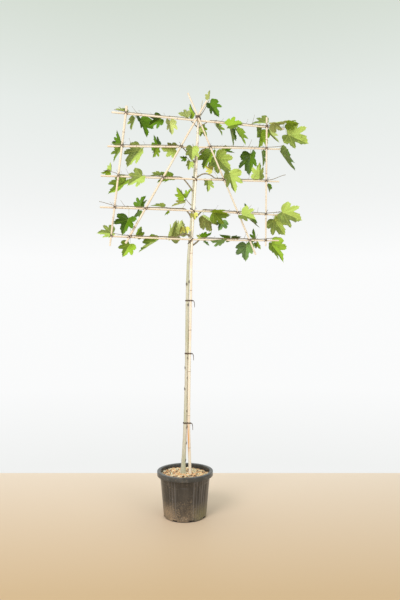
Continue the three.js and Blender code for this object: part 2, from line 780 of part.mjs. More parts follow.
// Tries seeded draws, each tamer and deeper than the last, until the leaf clears the limbs and other leaves.
function growLeaf(owner, root, heel, [length, lean, turn], depth, seed) {
  const draw = seeded(seed);
  const others = solids.filter((stretch) => stretch.owner !== owner);
  for (let k = 0; k < LEAF.tries; k += 1) {
    const tame = 1 - k / LEAF.tries;
    const swing = radians(lean + (draw() - 0.5) * 8);
    const pitch = radians((draw() - 0.5) * 44 * tame);
    const yaw = radians(turn * (0.45 + 0.55 * tame) + (draw() - 0.5) * 16);
    const deep = (depth < 0 ? DEPTH.frontY : DEPTH.behindY) + depth * DEPTH.spread * (draw() + k / 8);
    const slide = (draw() - 0.5) * 8;
    const fold = 0.22 + 0.4 * draw();
    const droop = 0.02 + 0.2 * draw();
    const web = draw();
    const way = vec(Math.sin(swing), 0, -Math.cos(swing));
    const junction = vec(heel.x + slide, deep, heel.z);
    const flat = vec(Math.cos(swing), 0, Math.sin(swing));
    way.multiplyScalar(Math.cos(pitch)).add(vec(0, -Math.sin(pitch), 0));
    const up = flat.clone().cross(way);
    const side = flat.multiplyScalar(Math.cos(yaw)).addScaledVector(up, Math.sin(yaw));
    const leaf = makeLeaf(junction, way, side, length, fold, droop, web);
    const stalk = stalkLine(root, leaf, 8 + 0.35 * Math.max(0, root.z - junction.z - 40));
    const stalkStretches = stretches(stalk.slice(1, -1), stalkRadii.slice(1, -1), owner);
    const meetsLimb = others.some((stretch) => leafMeetsStretch(leaf, stretch, LEAF.clear));
    if (meetsLimb) continue;
    if (limbsMeet(stalkStretches, others)) continue;
    if (allLeaves.some((other) => leavesMeet(leaf, other, 3))) continue;
    if (limbMeetsLeaves(stalkStretches)) continue;
    allLeaves.push({ ...leaf, stalk, owner });
    solids.push(...stalkStretches);
    return [limb(stalk, stalkRadii, 3), bladeSolid(leaf)];
  }
  return [];
}

// A bare twig stands up from its shoot; one that would touch another limb or a leaf is skipped.
function growTwig(owner, shoot, seed) {
  const draw = seeded(seed);
  const others = solids.filter((stretch) => stretch.owner !== owner);
  const root = shootAt(shoot, mix(shoot.from + 50, shoot.reach - 30, draw())).point;
  const length = SHOOT.twigLength * (0.7 + 0.9 * draw());
  const way = vec(shoot.side * (0.2 + 0.7 * draw()), 0.8 * (draw() - 0.5), 0.9).normalize();
  const points = [0, 0.5, 1].map((t) => root.clone().addScaledVector(way, t * length));
  points[2].z += 0.12 * length;
  const radii = [SHOOT.twigRadius * 0.8, SHOOT.twigRadius, SHOOT.twigRadius * 0.5];
  const pieces = stretches(points, radii, owner);
  if (limbsMeet(pieces, others) || limbMeetsLeaves(pieces)) return [];
  solids.push(...pieces);
  return [limb(points, radii, 3)];
}

SHOOTS.forEach((shoot, i) => {
  const owner = `leaves_${shoot.name}`;
  const { points, radii } = shootLines[i];
  const parts = [limb(points, radii, 5, vec(shoot.side, 0, 0))];
  let number = 0;
  const grow = (depth) => ([at, up, length, lean, turn]) => {
    number += 1;
    const back = shoot.side * STALK * Math.sin(radians(lean));
    const from = Math.min(Math.max(at - back, shoot.from + 8), shoot.reach - 1);
    const heel = shootAt(shoot, at).point.add(vec(0, 0, up));
    const root = shootAt(shoot, from).point;
    parts.push(...growLeaf(owner, root, heel, [length, lean, turn], depth, shoot.seed * 100 + number));
  };
  shoot.behind.forEach(grow(1));
  shoot.front.forEach(grow(-1));
  for (let k = 0; k < SHOOT.twigs; k += 1) parts.push(...growTwig(owner, shoot, shoot.seed * 100 + 50 + k));
  addNode(owner, largestPiece(joined(parts)), LOOKS.leaf);
});

SPURS.forEach((spur) => {
  const owner = `leaves_${spur.name}`;
  const base = trunkAt(spur.z);
  const heading = radians(spur.heading);
  const climb = radians(spur.climb);
  const level = vec(Math.cos(heading), Math.sin(heading), 0);
  const way = level.clone().multiplyScalar(Math.cos(climb)).add(vec(0, 0, Math.sin(climb)));
  const spurAt = (s) => {
    const bend = (14 * s * (spur.length - s)) / (spur.length * spur.length);
    return base.clone().addScaledVector(way, s + trunkRadius(spur.z)).addScaledVector(level, bend);
  };
  const points = [base];
  for (let k = 0; k <= 3; k += 1) points.push(spurAt((spur.length * k) / 3));
  const radii = points.map((unused, k) => mix(spur.radius, 1.6, k / 4));
  const mine = stretches(points.slice(1), radii.slice(1), owner);
  solids.push(...mine);
  const parts = [limb(points, radii, 5)];
  spur.leaves.forEach(([distance, length, lean, turn], k) => {
    const root = spurAt(distance);
    const down = vec(Math.sin(radians(lean)), 0, -Math.cos(radians(lean)));
    const heel = root.clone().addScaledVector(down, STALK);
    parts.push(...growLeaf(owner, root, heel, [length, lean, turn], spur.depth, spur.seed * 100 + k));
  });
  addNode(owner, seated(parts), spur.name === "leader" ? LOOKS.young : LOOKS.leaf);
});

// Ties

// The point of an outline round several round members, as seen in the direction n, a given way off them.
function hullPoint(members, turn, off) {
  const n = new THREE.Vector2(Math.cos(turn), Math.sin(turn));
  let best = null;
  members.forEach(({ x, y, r, stretch = 1 }) => {
    const reach = Math.hypot(n.x * r * stretch, n.y * r);
    const height = n.x * x + n.y * y + reach;
    if (best && best.height >= height) return;
    best = { height, x: x + (n.x * r * r * stretch * stretch) / reach, y: y + (n.y * r * r) / reach };
  });
  return new THREE.Vector2(best.x + n.x * off, best.y + n.y * off);
}

// A flat strap pulled round upright members, with a knot and a loose tail on its right.
function strap(z, height, members, tail) {
  const outline = (off) => {
    const points = [];
    for (let k = 0; k < 14; k += 1) points.push(hullPoint(members, (2 * Math.PI * k) / 14, off));
    return points;
  };
  const shape = new THREE.Shape(outline(TIE.slack + 0.2 + TIE.wall));
  shape.holes.push(new THREE.Path(outline(TIE.slack + 0.2)));
  const band = new THREE.ExtrudeGeometry(shape, { depth: height, bevelEnabled: false, curveSegments: 1 });
  band.translate(0, 0, z - height / 2);
  const weld = toManifold(welded(band));
  if (!tail) return largestPiece(weld);
  const knot = hullPoint(members, radians(-28), TIE.slack + TIE.wall);
  const points = [
    vec(knot.x, knot.y, z),
    vec(knot.x + 9, knot.y - 3, z - 1),
    vec(knot.x + 15, knot.y - 3, z - 14),
    vec(knot.x + 17, knot.y - 2, z - TIE.tail),
  ];
  return largestPiece(weld.add(toManifold(limb(points, [3.4, 3, 2.4, 2], 5))));
}

function welded(geometry) {
  const source = geometry.attributes.position;
  const index = new Map();
  const positions = [];
  const faces = [];
  for (let i = 0; i < source.count; i += 1) {
    const point = [source.getX(i), source.getY(i), source.getZ(i)];
    const key = point.map((c) => Math.round(c * 1e4) || 0).join(",");
    if (!index.has(key)) {
      index.set(key, positions.length / 3);
      positions.push(...point);
    }
    faces.push(index.get(key));
  }
  const order = geometry.index ? Array.from(geometry.index.array).map((i) => faces[i]) : faces;
  const kept = [];
  for (let f = 0; f < order.length; f += 3) {
    const [a, b, c] = order.slice(f, f + 3);
    if (a !== b && b !== c && c !== a) kept.push(a, b, c);
  }
  return solidFrom(positions, kept);
}

// A wire lashed aslant round a rail and the uprights behind it.
function lashing(rail) {
  const x = postX(railSpot(rail, postX(rail.left[1])).z);
  const spot = railAt(rail, x);
  const z = spot.point.z;
  const post = postAt(z);
  const stem = trunkAt(z);
  const slant = Math.SQRT2;
  const members = [
    { x: 0, y: spot.point.y, r: spot.radius + 0.2, stretch: slant },
    { x: 0, y: post.y, r: postRadius(z), stretch: slant },
    { x: (stem.x - post.x) * slant, y: stem.y, r: trunkRadius(z) + TRUNK.knotSwell + 0.9, stretch: slant },
  ];
  const count = 14;
  const points = [];
  for (let k = 0; k < count; k += 1) {
    const p = hullPoint(members, (2 * Math.PI * k) / count, TIE.wire + 1.1);
    points.push(vec(x + p.x / slant, p.y, z + (rail.lash * p.x) / slant));
  }
  return closedWire(points, vec(1, 0, -rail.lash).normalize(), TIE.wire, 4);
}

function closedWire(points, axis, radius, sides) {
  const positions = [];
  const faces = [];
  const n = points.length;
  points.forEach((point, i) => {
    const way = points[(i + 1) % n].clone().sub(points[(i + n - 1) % n]).normalize();
    const out = way.clone().cross(axis).multiplyScalar(axis.z < 0 ? 1 : -1).normalize();
    for (let k = 0; k < sides; k += 1) {
      const turn = (2 * Math.PI * k) / sides;
      const rim = point.clone().addScaledVector(out, radius * Math.cos(turn));
      rim.addScaledVector(axis, radius * Math.sin(turn));
      positions.push(rim.x, rim.y, rim.z);
    }
  });
  for (let i = 0; i < n; i += 1) {
    for (let k = 0; k < sides; k += 1) {
      const a = i * sides + k;
      const b = i * sides + ((k + 1) % sides);
      const c = ((i + 1) % n) * sides + ((k + 1) % sides);
      const d = ((i + 1) % n) * sides + k;
      if (axis.z < 0) faces.push(a, c, b, a, d, c);
      else faces.push(a, b, c, a, c, d);
    }
  }
  return solidFrom(positions, faces);
}

TIE.trunkHeights.forEach((z, i) => {
  const ends = [z - TIE.height / 2, z + TIE.height / 2];
  const members = ends.flatMap((h) => [
    { x: postAt(h).x, y: postAt(h).y, r: postRadius(h) },
    { x: trunkAt(h).x, y: trunkAt(h).y, r: trunkRadius(h) + TRUNK.knotSwell },
  ]);
  addNode(`trunk_tie_${i + 1}`, strap(z, TIE.height, members, true), LOOKS.tie);
});
RAILS.forEach((rail, i) => {
  if (rail.lash) addNode(`lashing_${i + 1}`, lashing(rail), LOOKS.tie);
});
{
  const ends = [APEX.z - APEX.band / 2, APEX.z + APEX.band / 2];
  const members = ends.flatMap((h) => [
    { x: postAt(h).x, y: postAt(h).y, r: postRadius(h) },
    { x: trunkAt(h).x, y: trunkAt(h).y, r: trunkRadius(h) + TRUNK.knotSwell },
    ...RAKES.map((rake) => {
      const spot = frontCaneAt(rake, h);
      return { x: spot.point.x, y: spot.point.y, r: spot.radius + 0.2, stretch: 1.16 };
    }),
  ]);
  addNode("apex_tie", strap(APEX.z, APEX.band, members, false), LOOKS.tie);
}

// Pot and soil

function turned(profile, segments) {
  const points = profile.map(([r, z]) => new THREE.Vector2(r, z));
  const lathe = new THREE.LatheGeometry(points, segments);
  lathe.rotateX(Math.PI / 2);
  return lathe;
}

const inside = (z) => mix(POT.footRadius, POT.wallTopRadius, z / (POT.height - 6)) - POT.wall;

function potSolid() {
  const top = POT.height;
  const skirt = POT.rimRadius - POT.lipWall;
  const profile = [
    [0, 0],
    [POT.footRadius - 2, 0],
    [POT.footRadius, 3],
    [POT.wallTopRadius, top - 6],
    [skirt, top - 7],
    [skirt, top - POT.lipHeight],
    [POT.rimRadius, top - POT.lipHeight],
    [POT.rimRadius, top - 5],
    [POT.rimRadius - 4, top],
    [POT.mouthRadius + 4, top],
    [POT.mouthRadius, top - 5],
    [POT.mouthRadius, top - 14],
    [inside(top - 18), top - 18],
    [inside(POT.floor), POT.floor],
    [0, POT.floor],
    [0, 0],
  ];
  let solid = toManifold(welded(turned(profile, 30)));
  const mouth = new THREE.Shape();
  mouth.moveTo(-POT.drainWidth / 2, -2);
  mouth.lineTo(POT.drainWidth / 2, -2);
  mouth.lineTo(POT.drainWidth / 2 - 5, POT.drainHeight);
  mouth.lineTo(5 - POT.drainWidth / 2, POT.drainHeight);
  for (let k = 0; k < POT.drains; k += 1) {
    const cutter = new THREE.ExtrudeGeometry(mouth, { depth: POT.drainDepth + 20, bevelEnabled: false });
    cutter.rotateX(Math.PI / 2);
    cutter.translate(0, POT.drainDepth - POT.footRadius, 0);
    cutter.rotateZ((2 * Math.PI * (k + 0.42)) / POT.drains);
    solid = solid.subtract(toManifold(welded(cutter)));
  }
  return largestPiece(solid);
}

addNode("pot", potSolid(), LOOKS.pot);
const soilEdge = (z) => inside(z) - TOUCH;
const soilLow = POT.floor + TOUCH;
const soilProfile = [
  [0, soilLow],
  [soilEdge(soilLow), soilLow],
  [soilEdge(SOIL.surface - SOIL.edgeFall), SOIL.surface - SOIL.edgeFall],
  [mix(SOIL.flatRadius, inside(SOIL.surface), 0.5), SOIL.surface - SOIL.edgeFall * 0.3],
  [SOIL.flatRadius, SOIL.surface],
  [0, SOIL.surface],
  [0, soilLow],
];
addNode("soil", largestPiece(toManifold(welded(turned(soilProfile, 30)))), LOOKS.soil);

const plane = new THREE.Group();
plane.name = "potted_espaliered_plane";
nodes.forEach((node) => plane.add(node));
export default plane;
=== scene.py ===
import functools
import math
from collections import namedtuple
from types import SimpleNamespace as Named

import bpy
import numpy as np
from bpy.props import FloatProperty, FloatVectorProperty, IntProperty, PointerProperty
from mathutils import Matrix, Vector


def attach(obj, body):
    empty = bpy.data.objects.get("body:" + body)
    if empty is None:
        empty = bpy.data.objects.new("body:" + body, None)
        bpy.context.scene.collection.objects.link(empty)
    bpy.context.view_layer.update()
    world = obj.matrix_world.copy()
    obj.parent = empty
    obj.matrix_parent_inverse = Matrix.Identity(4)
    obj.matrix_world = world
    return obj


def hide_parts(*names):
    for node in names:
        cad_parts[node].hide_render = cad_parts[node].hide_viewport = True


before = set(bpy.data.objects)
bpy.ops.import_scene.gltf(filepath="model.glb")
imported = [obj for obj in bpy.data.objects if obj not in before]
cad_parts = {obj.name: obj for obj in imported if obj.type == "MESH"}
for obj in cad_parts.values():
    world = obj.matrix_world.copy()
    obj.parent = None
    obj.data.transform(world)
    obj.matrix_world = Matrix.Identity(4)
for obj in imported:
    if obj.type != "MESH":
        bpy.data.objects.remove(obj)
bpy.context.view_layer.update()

bl_info = {
    "name": "Espaliered plane tree in a pot",
    "version": (1, 0, 0),
    "blender": (4, 5, 0),
    "location": "View3D > Sidebar > Plane tree",
    "description": "Makes a potted plane tree trained flat on canes, piece by piece",
    "category": "Object",
}

# Driving dimensions, in millimetres

MM = 0.001
TOUCH = 0.3  # left between two pieces that touch
SEEDS = Named(
    rails=101, front_canes=111, more_knots=201, post_knots=140, post_skin=21, soil=5, chips=97,
    trunk_skin=31, trunk_bends=33, lashings=300, apex=320, cane_wires=400,
)  # fmt: skip

POT = Named(
    height=304, rim_radius=188, mouth_radius=164, lip_height=31, lip_wall=4, wall_top_radius=169.5,
    foot_radius=143, wall=3.5, floor=5, drains=8, drain_width=34, drain_height=14, drain_reach=5,
    drain_turn=0.42, flute_low=12, flute_high=241, panel_out=1.4, slot_height=231, slot_depth=2.4,
    slot_turn=9, slot_reach=4.5, ring_step=3.5, corner=3.2, sides=480,
)  # fmt: skip
SOIL = Named(surface=276, flat_radius=82, edge_radius=165, edge_fall=6, side_top=262, rings=44, sides=96)
HEAP = Named(x=-62, y=52, reach=62, height=14)
CHIP = Named(stretch=1.3, stem_room=27, post_room=15, tints=(0.42, 0.73, 0.91))
POST = Named(
    top_z=2692, foot_radius=10, top_radius=7, front_y=-8, sunk=12, sides=32,
    knots=(430, 2600, 268), knot_shift=60,
)  # fmt: skip
# Height, and X of the centre line.
POST_LINE = ((276, 34), (621, 25), (1451, 38), (1843, 46), (2281, 73), (2692, 90))
# Height, X of the centre line, and radius.
TRUNK_LINE = (
    (276, -15, 14),
    (621, 1.5, 12.6),
    (1060, 11, 12),
    (1451, 15, 11),
    (1694, 21, 10),
    (1843, 30, 9.3),
    (2045, 46, 8.4),
    (2281, 60, 7.4),
    (2531, 80, 5.8),
    (2660, 97, 4.6),
    (2797, 117, 2.4),
)
TRUNK = Named(top_z=2797, flare=8, flare_height=45, seed=17, knot_swell=1.3, rings=36, sides=56)
# Old leaf scars up the trunk: height, and the turn round it from its front in degrees, + to the right.
SCARS = (
    (371, 62), (486, 66), (594, 58), (702, 48), (850, -52), (925, 50),
    (992, -58), (1060, 40), (1418, 30), (1557, -36), (1573, 52),
)  # fmt: skip

RAIL = Named(left_radius=6.4, post_radius=6, right_radius=5.2, knot_swell=0.7, sides=28)
KNOTS = Named(spacing=320, clear=22, beside=5, more_spacing=90, more_beyond=60)
# Rings about a knot, from it along the cane, and the step between the rings elsewhere.
KNOT_RINGS = np.array([-9, -6, -4.6, -3.4, -2.2, -1.2, -0.5, 0, 0.5, 1.2, 2.2, 4, 7])
CANE_STEP = 9
RAILS = tuple(
    Named(left=left, right=right, bow=bow, lash=lash)
    for left, right, bow, lash in (
        ((-493, 2713), (668, 2600), 0, 0),
        ((-521, 2484), (636, 2464), 4, -1),
        ((-566, 2286), (632, 2246), -2, -1),
        ((-572, 2075), (631, 2021), 3, -1),
        ((-498, 1880), (631, 1850), -8, 1),
    )
)
UPRIGHTS = (
    Named(name="left_upright", top=(-390, 2748), foot=(-503, 1812), top_radius=8.2, foot_radius=6, over=0),
    Named(name="right_upright", top=(548, 2672), foot=(541, 1812), top_radius=6.6, foot_radius=5, over=0),
)
RAKES = (
    Named(name="left_rake", top=(146, 2784), foot=(-398, 1828), top_radius=6.4, foot_radius=7.6, over=0),
    Named(name="right_rake", top=(20, 2830), foot=(474, 1754), top_radius=5.2, foot_radius=6.2, over=1),
)
FRONT_CANES = UPRIGHTS + RAKES
APEX = Named(z=2672, band=8, reach=200, knot_turn=-80, cord=2.6, cord_rise=6.5)
TIE = Named(
    height=9, wall=1.5, slack=0.35, trunk_heights=(621, 1090, 1447), knot_turn=-28, tail=46,
    steps=72, strap_steps=96,
)  # fmt: skip


# One shoot along half a rail: which rail, the side of the post, the height of its bough's root over
# the rail, where the shoot starts and ends, the lift of its tip, its seed, a tone letter for each leaf,
# and the leaves behind the canes and in front of them. A leaf is (distance of its heel from the post,
# height of the heel above the shoot, length, lean, turn). Tone letters: l light, m middling, d dark,
# b blue-green, y yellow, p pale, n new growth.
# Each of the tones d, l, p and b paints one of shade, full light, a turn to the light and a sheen into a
# leaf's colour.
Shoot = namedtuple("Shoot", "name rail side root start reach lift seed tones behind front", defaults=((),))
SHOOTS = (
    Shoot(
        "1_left", RAILS[0], -1, -46, 74, 560, 8, 11, "pdlpdl",
        behind=(
            (192, -22, 90, 8, 45), (402, -14, 128, 20, 82), (432, -22, 80, -18, -66),
            (74, 13, 75, -106, -35), (262, -8, 88, -60, 15), (493, 13, 74, -104, -72),
        ),
    ),
    Shoot(
        "1_right", RAILS[0], 1, -40, 92, 606, 4, 12, "mdmmpllmpm",
        behind=(
            (116, -12, 80, 34, 85), (212, -38, 112, 4, 74), (264, -26, 122, 30, 72), (433, -8, 122, -7, 84),
            (474, -30, 98, 38, 60), (610, -38, 150, 60, 0), (461, 46, 103, -80, -60),
        ),
        front=((206, -34, 100, 109, 30), (488, -2, 104, 97, -84), (590, 14, 80, 95, -76)),
    ),
    Shoot(
        "2_left", RAILS[1], -1, -100, 142, 575, 6, 21, "mmldldd",
        behind=(
            (284, -10, 62, -25, 62), (518, -23, 94, -36, -60), (157, -8, 94, -90, 40),
            (262, 10, 90, -164, 60), (389, -12, 152, -38, -38), (513, 26, 85, -165, 62),
            (532, 32, 60, -104, 60),
        ),
    ),
    Shoot(
        "2_right", RAILS[1], 1, -52, 88, 575, 14, 22, "mldddd",
        behind=(
            (92, -28, 122, -23, -58), (134, -52, 138, 48, -30), (184, -8, 78, 80, 64),
            (366, -32, 142, 2, -70), (442, -20, 98, 6, 85), (568, -38, 150, 23, 70),
        ),
    ),
    Shoot(
        "3_left", RAILS[2], -1, -80, 118, 590, 26, 31, "mmdmll",
        behind=(
            (480, -30, 150, -44, -76), (164, 6, 106, -75, -50), (243, 12, 76, -88, -74),
            (594, 8, 56, -82, 62), (580, 30, 50, 172, 50),
        ),
        front=((362, -12, 114, -59, -20),),
    ),
    Shoot(
        "3_right", RAILS[2], 1, 26, 140, 596, 36, 32, "ldyll",
        behind=(
            (78, -12, 80, 6, 38), (484, -32, 54, 14, 70), (105, 62, 54, -119, 45), (430, 26, 104, 178, 45),
        ),
        front=((228, 22, 128, 12, 25),),
    ),
    Shoot(
        "4_left", RAILS[3], -1, -44, 70, 630, 25, 41, "bdymdm",
        behind=(
            (378, -16, 60, -37, 60), (446, -84, 124, -14, -4), (70, 46, 93, -68, -70),
            (214, 12, 87, -86, -80), (365, 14, 88, 156, 35), (179, -12, 38, -45, 70),
        ),
    ),
    Shoot(
        "4_right", RAILS[3], 1, -56, 76, 590, 12, 42, "pbdldmll",
        behind=(
            (72, -30, 140, 72, -70), (188, -66, 74, -20, 10), (379, -46, 86, 50, 66),
            (552, -40, 128, 38, -35), (366, 32, 46, -150, 60),
        ),
        front=((133, -30, 112, 91, -70), (326, -30, 98, 62, 22), (590, -8, 142, 74, 0)),
    ),
    Shoot(
        "5_left", RAILS[4], -1, 22, 110, 532, 10, 51, "mmppml",
        behind=(
            (250, -22, 150, -55, -82), (430, -60, 98, -24, 0), (92, 38, 100, 169, -50),
            (150, 6, 130, 172, -86), (376, 10, 74, 158, -66), (546, 10, 104, -90, -48),
        ),
    ),
    Shoot(
        "5_right", RAILS[4], 1, -40, 74, 590, 12, 52, "bmmddddbpb",
        behind=(
            (372, -36, 112, -6, -15), (438, -22, 52, 36, -65), (545, -40, 148, 37, 48),
            (76, 8, 68, 115, 60), (250, 28, 69, -109, 75), (272, 22, 60, 93, -70), (438, 6, 79, 178, 80),
            (84, -24, 44, 58, 60), (66, 20, 40, -120, 40),
        ),
        front=((202, -8, 92, -84, 75),),
    ),
)  # fmt: skip


# A leafy spur on the trunk: its height, heading and climb, length and radius, 1 or -1 for behind or in
# front of the canes, its seed, tone letters, and the leaves as (distance, length, lean, turn).
Spur = namedtuple("Spur", "name z heading climb length radius depth seed tones leaves")
SPURS = (
    Spur("leader", 2694, 12, 61, 120, 2.7, 1, 71, "dn", ((116, 106, 32, 28), (118, 58, 171, 66))),
    Spur("top_left", 2692, 172, 14, 26, 2.2, 1, 72, "m", ((24, 84, -160, 80),)),
    Spur("1_spur", 2652, 80, 10, 24, 2, 1, 78, "pm", ((14, 54, -6, 60), (22, 74, 36, -72))),
    Spur("2_front", 2424, 255, 42, 80, 2.6, -1, 77, "l", ((76, 82, -6, 0),)),
    Spur("2_spur", 2354, 200, 46, 60, 2.6, -1, 73, "ld", ((34, 54, -15, 35), (42, 42, -100, 57))),
    Spur("4_spur", 2086, 176, 50, 60, 2.8, 1, 74, "mm", ((54, 82, -139, 70), (58, 69, 153, 70))),
    Spur("4_front", 2016, 296, 32, 36, 2.2, -1, 76, "y", ((34, 50, 7, 0),)),
    Spur("5_spur", 1930, 196, 24, 48, 2.4, -1, 75, "yy", ((28, 44, 20, 30), (46, 44, -20, 40))),
)

SHOOT = Named(
    at_trunk=0.62, start=0.46, tip=1.6, step=64, sides=14,
    twigs=2, twig_length=34, twig_radius=1.4, fine_twigs=4, fine_radius=0.9,
)  # fmt: skip
BOUGH = Named(rings=70, sides=24)
# Radii along a leaf's stalk, the room round a leaf, how often it is tried, and the spans of its draws.
LEAF = Named(stalk_radii=(2.3, 1.7, 1.5), clear=3, tries=24, swing=8, pitch=44, yaw=16, slide=8)
STALK = 22  # how far a leaf's root lies behind its heel along the shoot
DEPTH = Named(behind_y=3, front_y=-36, spread=22)

# Half of the plain outline that the rule keeps clear: degrees from the midrib, radius over length,
# and what a fully webbed leaf adds to the radius.
OUTLINE = (
    (0, 1, 0), (16, 0.74, 0.04), (27, 0.5, 0.17), (43, 0.8, 0),
    (64, 0.47, 0.13), (90, 0.55, 0), (132, 0.34, 0.03), (180, 0.07, 0),
)  # fmt: skip

# Half of the true outline with its teeth, from the tip to the heel: (across, along) in leaf lengths.
EDGE = (
    (0, 1), (0.024, 0.935), (0.058, 0.88), (0.12, 0.845), (0.124, 0.79), (0.15, 0.748), (0.215, 0.718),
    (0.205, 0.655), (0.2, 0.585), (0.198, 0.5), (0.2, 0.405), (0.25, 0.438), (0.3, 0.488), (0.365, 0.53),
    (0.4, 0.572), (0.46, 0.572), (0.548, 0.588), (0.516, 0.522), (0.545, 0.465), (0.486, 0.4),
    (0.502, 0.348), (0.44, 0.272), (0.36, 0.195), (0.44, 0.19), (0.515, 0.168), (0.515, 0.105), (0.56, 0),
    (0.508, -0.035), (0.49, -0.085), (0.43, -0.115), (0.39, -0.168), (0.305, -0.205), (0.21, -0.225),
    (0.1, -0.175), (0.036, -0.11), (0, -0.07),
)  # fmt: skip
VEIN_TURNS = (0, 43, 90)  # degrees from the midrib, on both sides
LEAF_MIDDLE = (0.5, 0.3)  # the junction's place in a leaf's own coordinates
LEAF_RINGS = np.array([0.16, 0.36, 0.56, 0.74, 0.89, 1.0])  # shares of the way from its junction to its rim


# Colours are scene-linear, sizes in metres

def colour(name, description, value):
    """A property that holds a colour."""
    return FloatVectorProperty(
        name=name, description=description, subtype="COLOR", size=3, min=0, max=1, default=value
    )


def metres(name, description, value, low, high):
    """A property that holds a length."""
    return FloatProperty(name=name, description=description, unit="LENGTH", default=value, min=low, max=high)


class PlaneTreeSizes(bpy.types.PropertyGroup):
    """The finer sizes of the dressed tree, which the frame leaves open."""

    leaf_thickness: metres("Leaf thickness", "Thickness of a blade at its heel", 0.0007, 0.0002, 0.002)
    petiole_radius: metres("Stalk radius", "Radius of a leaf's stalk at its middle", 0.00105, 0.0004, 0.003)
    wire_radius: metres("Wire radius", "Radius of the wire that ties the canes", 0.0011, 0.0004, 0.003)
    chip_length: metres("Chip length", "Length of a middling chip of bark", 0.021, 0.005, 0.05)
    flute_depth: metres("Flute depth", "Depth of the flutes moulded into the pot's wall", 0.0026, 0, 0.004)
    chips: IntProperty(
        name="Bark chips", description="Number of chips of bark that cover the soil",
        default=2000, min=200, max=6000,
    )  # fmt: skip


class PlaneTreeColours(bpy.types.PropertyGroup):
    """Base colours of the tree, its frame of canes and its pot."""

    # Painted light: the dark, light, pale and blue-green leaf colours put shade, full light, a turn to the
    # light and a sheen into the green.
    leaf_dark: colour("Dark leaf", "Upper face of a leaf in shade", (0.068, 0.148, 0.004))
    leaf_mid: colour("Leaf", "Upper face of a middling leaf", (0.21, 0.33, 0.023))
    leaf_light: colour("Light leaf", "Upper face of a leaf in full light", (0.3, 0.395, 0.085))
    leaf_blue: colour("Blue-green leaf", "Upper face of a leaf with a sheen", (0.14, 0.25, 0.07))
    leaf_yellow: colour("Yellow leaf", "Upper face of a yellowing leaf", (0.45, 0.45, 0.1))
    leaf_pale: colour("Pale leaf", "Upper face of a leaf turned to the light", (0.45, 0.53, 0.17))
    leaf_new: colour("New leaf", "Upper face of a leaf at the leader", (0.26, 0.29, 0.085))
    leaf_under: colour("Leaf's underside", "Underside of every leaf", (0.34, 0.46, 0.13))
    stalk: colour("Leaf stalk", "Stalks of the leaves", (0.36, 0.38, 0.1))
    shoot: colour("Shoot", "Bark of this year's shoots", (0.2, 0.15, 0.075))
    bark: colour("Bark", "Bark of the trunk and the boughs", (0.63, 0.585, 0.475))
    cane: colour("Cane", "Bamboo of the frame", (0.76, 0.65, 0.5))
    post: colour("Post cane", "Bamboo of the post", (0.86, 0.765, 0.625))
    tie: colour("Tie", "Wire and straps of the ties", (0.1, 0.064, 0.04))
    pot: colour("Pot", "Moulded plastic of the pot", (0.034, 0.029, 0.025))
    dust: colour("Dust", "Dust dried onto the pot", (0.36, 0.26, 0.165))
    chip: colour("Bark chip", "Middling chip of bark", (0.98, 0.54, 0.285))
    # rim is a painted reflection: the sheen of the plastic, put into the colour of the lip and the inside of
    # the pot.
    rim: colour("Pot's rim", "Sheen of the plastic on the rim and inside the pot", (0.052, 0.052, 0.05))
    soil: colour("Soil", "Soil between the chips", (0.1, 0.062, 0.036))
    # The two floor colours are painted light and shade: brighter at the back and darker below the camera, as
    # the light on the floor falls off.
    floor: colour("Floor", "Floor of the stage at its back", (0.95, 0.76, 0.63))
    floor_near_shaded: colour("Near floor", "Floor of the stage below the camera", (0.58, 0.4, 0.235))


def sizes():
    return bpy.context.scene.plane_tree_sizes


def colours():
    return bpy.context.scene.plane_tree_colours


# Numbers

def mix(a, b, t):
    """The straight line from a at t = 0 to b at t = 1."""
    return a + (b - a) * t


def clamp(t):
    return np.clip(t, 0.0, 1.0)


def ease(t):
    """0 below 0, 1 above 1, and 3 t^2 - 2 t^3 between."""
    return clamp(t) ** 2 * (3 - 2 * clamp(t))


def bell(t):
    """exp(-t^2): 1 at 0, and next to nothing beyond 2."""
    return np.exp(-(t**2))


def turns_round(count):
    """Equal turns round a circle, in radians."""
    return 2 * math.pi * np.arange(count) / count


def vec(x, y, z):
    """Points from three numbers or arrays, which are spread to one shape."""
    return np.stack(np.broadcast_arrays(*(np.asarray(c, float) for c in (x, y, z))), -1)


def unit(v):
    return v / np.linalg.norm(v, axis=-1, keepdims=True)


def dot(a, b):
    return (a * b).sum(-1)


def seeded(seed):
    """Park and Miller's generator: the same seed always gives the same draws between 0 and 1."""
    state = seed * 7919 % 2147483647

    def draw():
        nonlocal state
        state = state * 48271 % 2147483647
        return state / 2147483647

    return draw


def draws(seed, count):
    draw = seeded(seed)
    return np.array([draw() for _ in range(count)])


def along(table, z, column):
    """Column of a table at height z: the Hermite curve through its rows, sloped by their neighbours."""
    rows = np.asarray(table, float)
    last = len(rows) - 1
    spans = np.array([(max(0, k - 1), min(last, k + 1)) for k in range(last + 1)])
    before, after = rows[spans[:, 0]], rows[spans[:, 1]]
    slope = (after[:, column] - before[:, column]) / (after[:, 0] - before[:, 0])
    z = np.asarray(z, float)
    i = np.searchsorted(rows[1:last, 0], z, side="left")
    h = rows[i + 1, 0] - rows[i, 0]
    t = clamp((z - rows[i, 0]) / h)
    keep = (1 + 2 * t) * (1 - t) ** 2
    start = t * (1 - t) ** 2 * h
    end = t * t * (t - 1) * h
    return keep * rows[i, column] + start * slope[i] + (1 - keep) * rows[i + 1, column] + end * slope[i + 1]


def ripple(points, scale, seed, waves=9):
    """Smooth unevenness between about -1 and 1: the mean of plane waves in seeded ways, scale apart."""
    d = draws(seed, waves * 4).reshape(waves, 4)
    ways = unit(d[:, :3] - 0.5)
    lengths = scale * (0.7 + 0.9 * d[:, 3])
    turns = points @ (ways / lengths[:, None]).T * 2 * math.pi + d[:, 3] * 40
    return np.sin(turns).mean(-1) * 1.6


# Distances between limbs and leaves

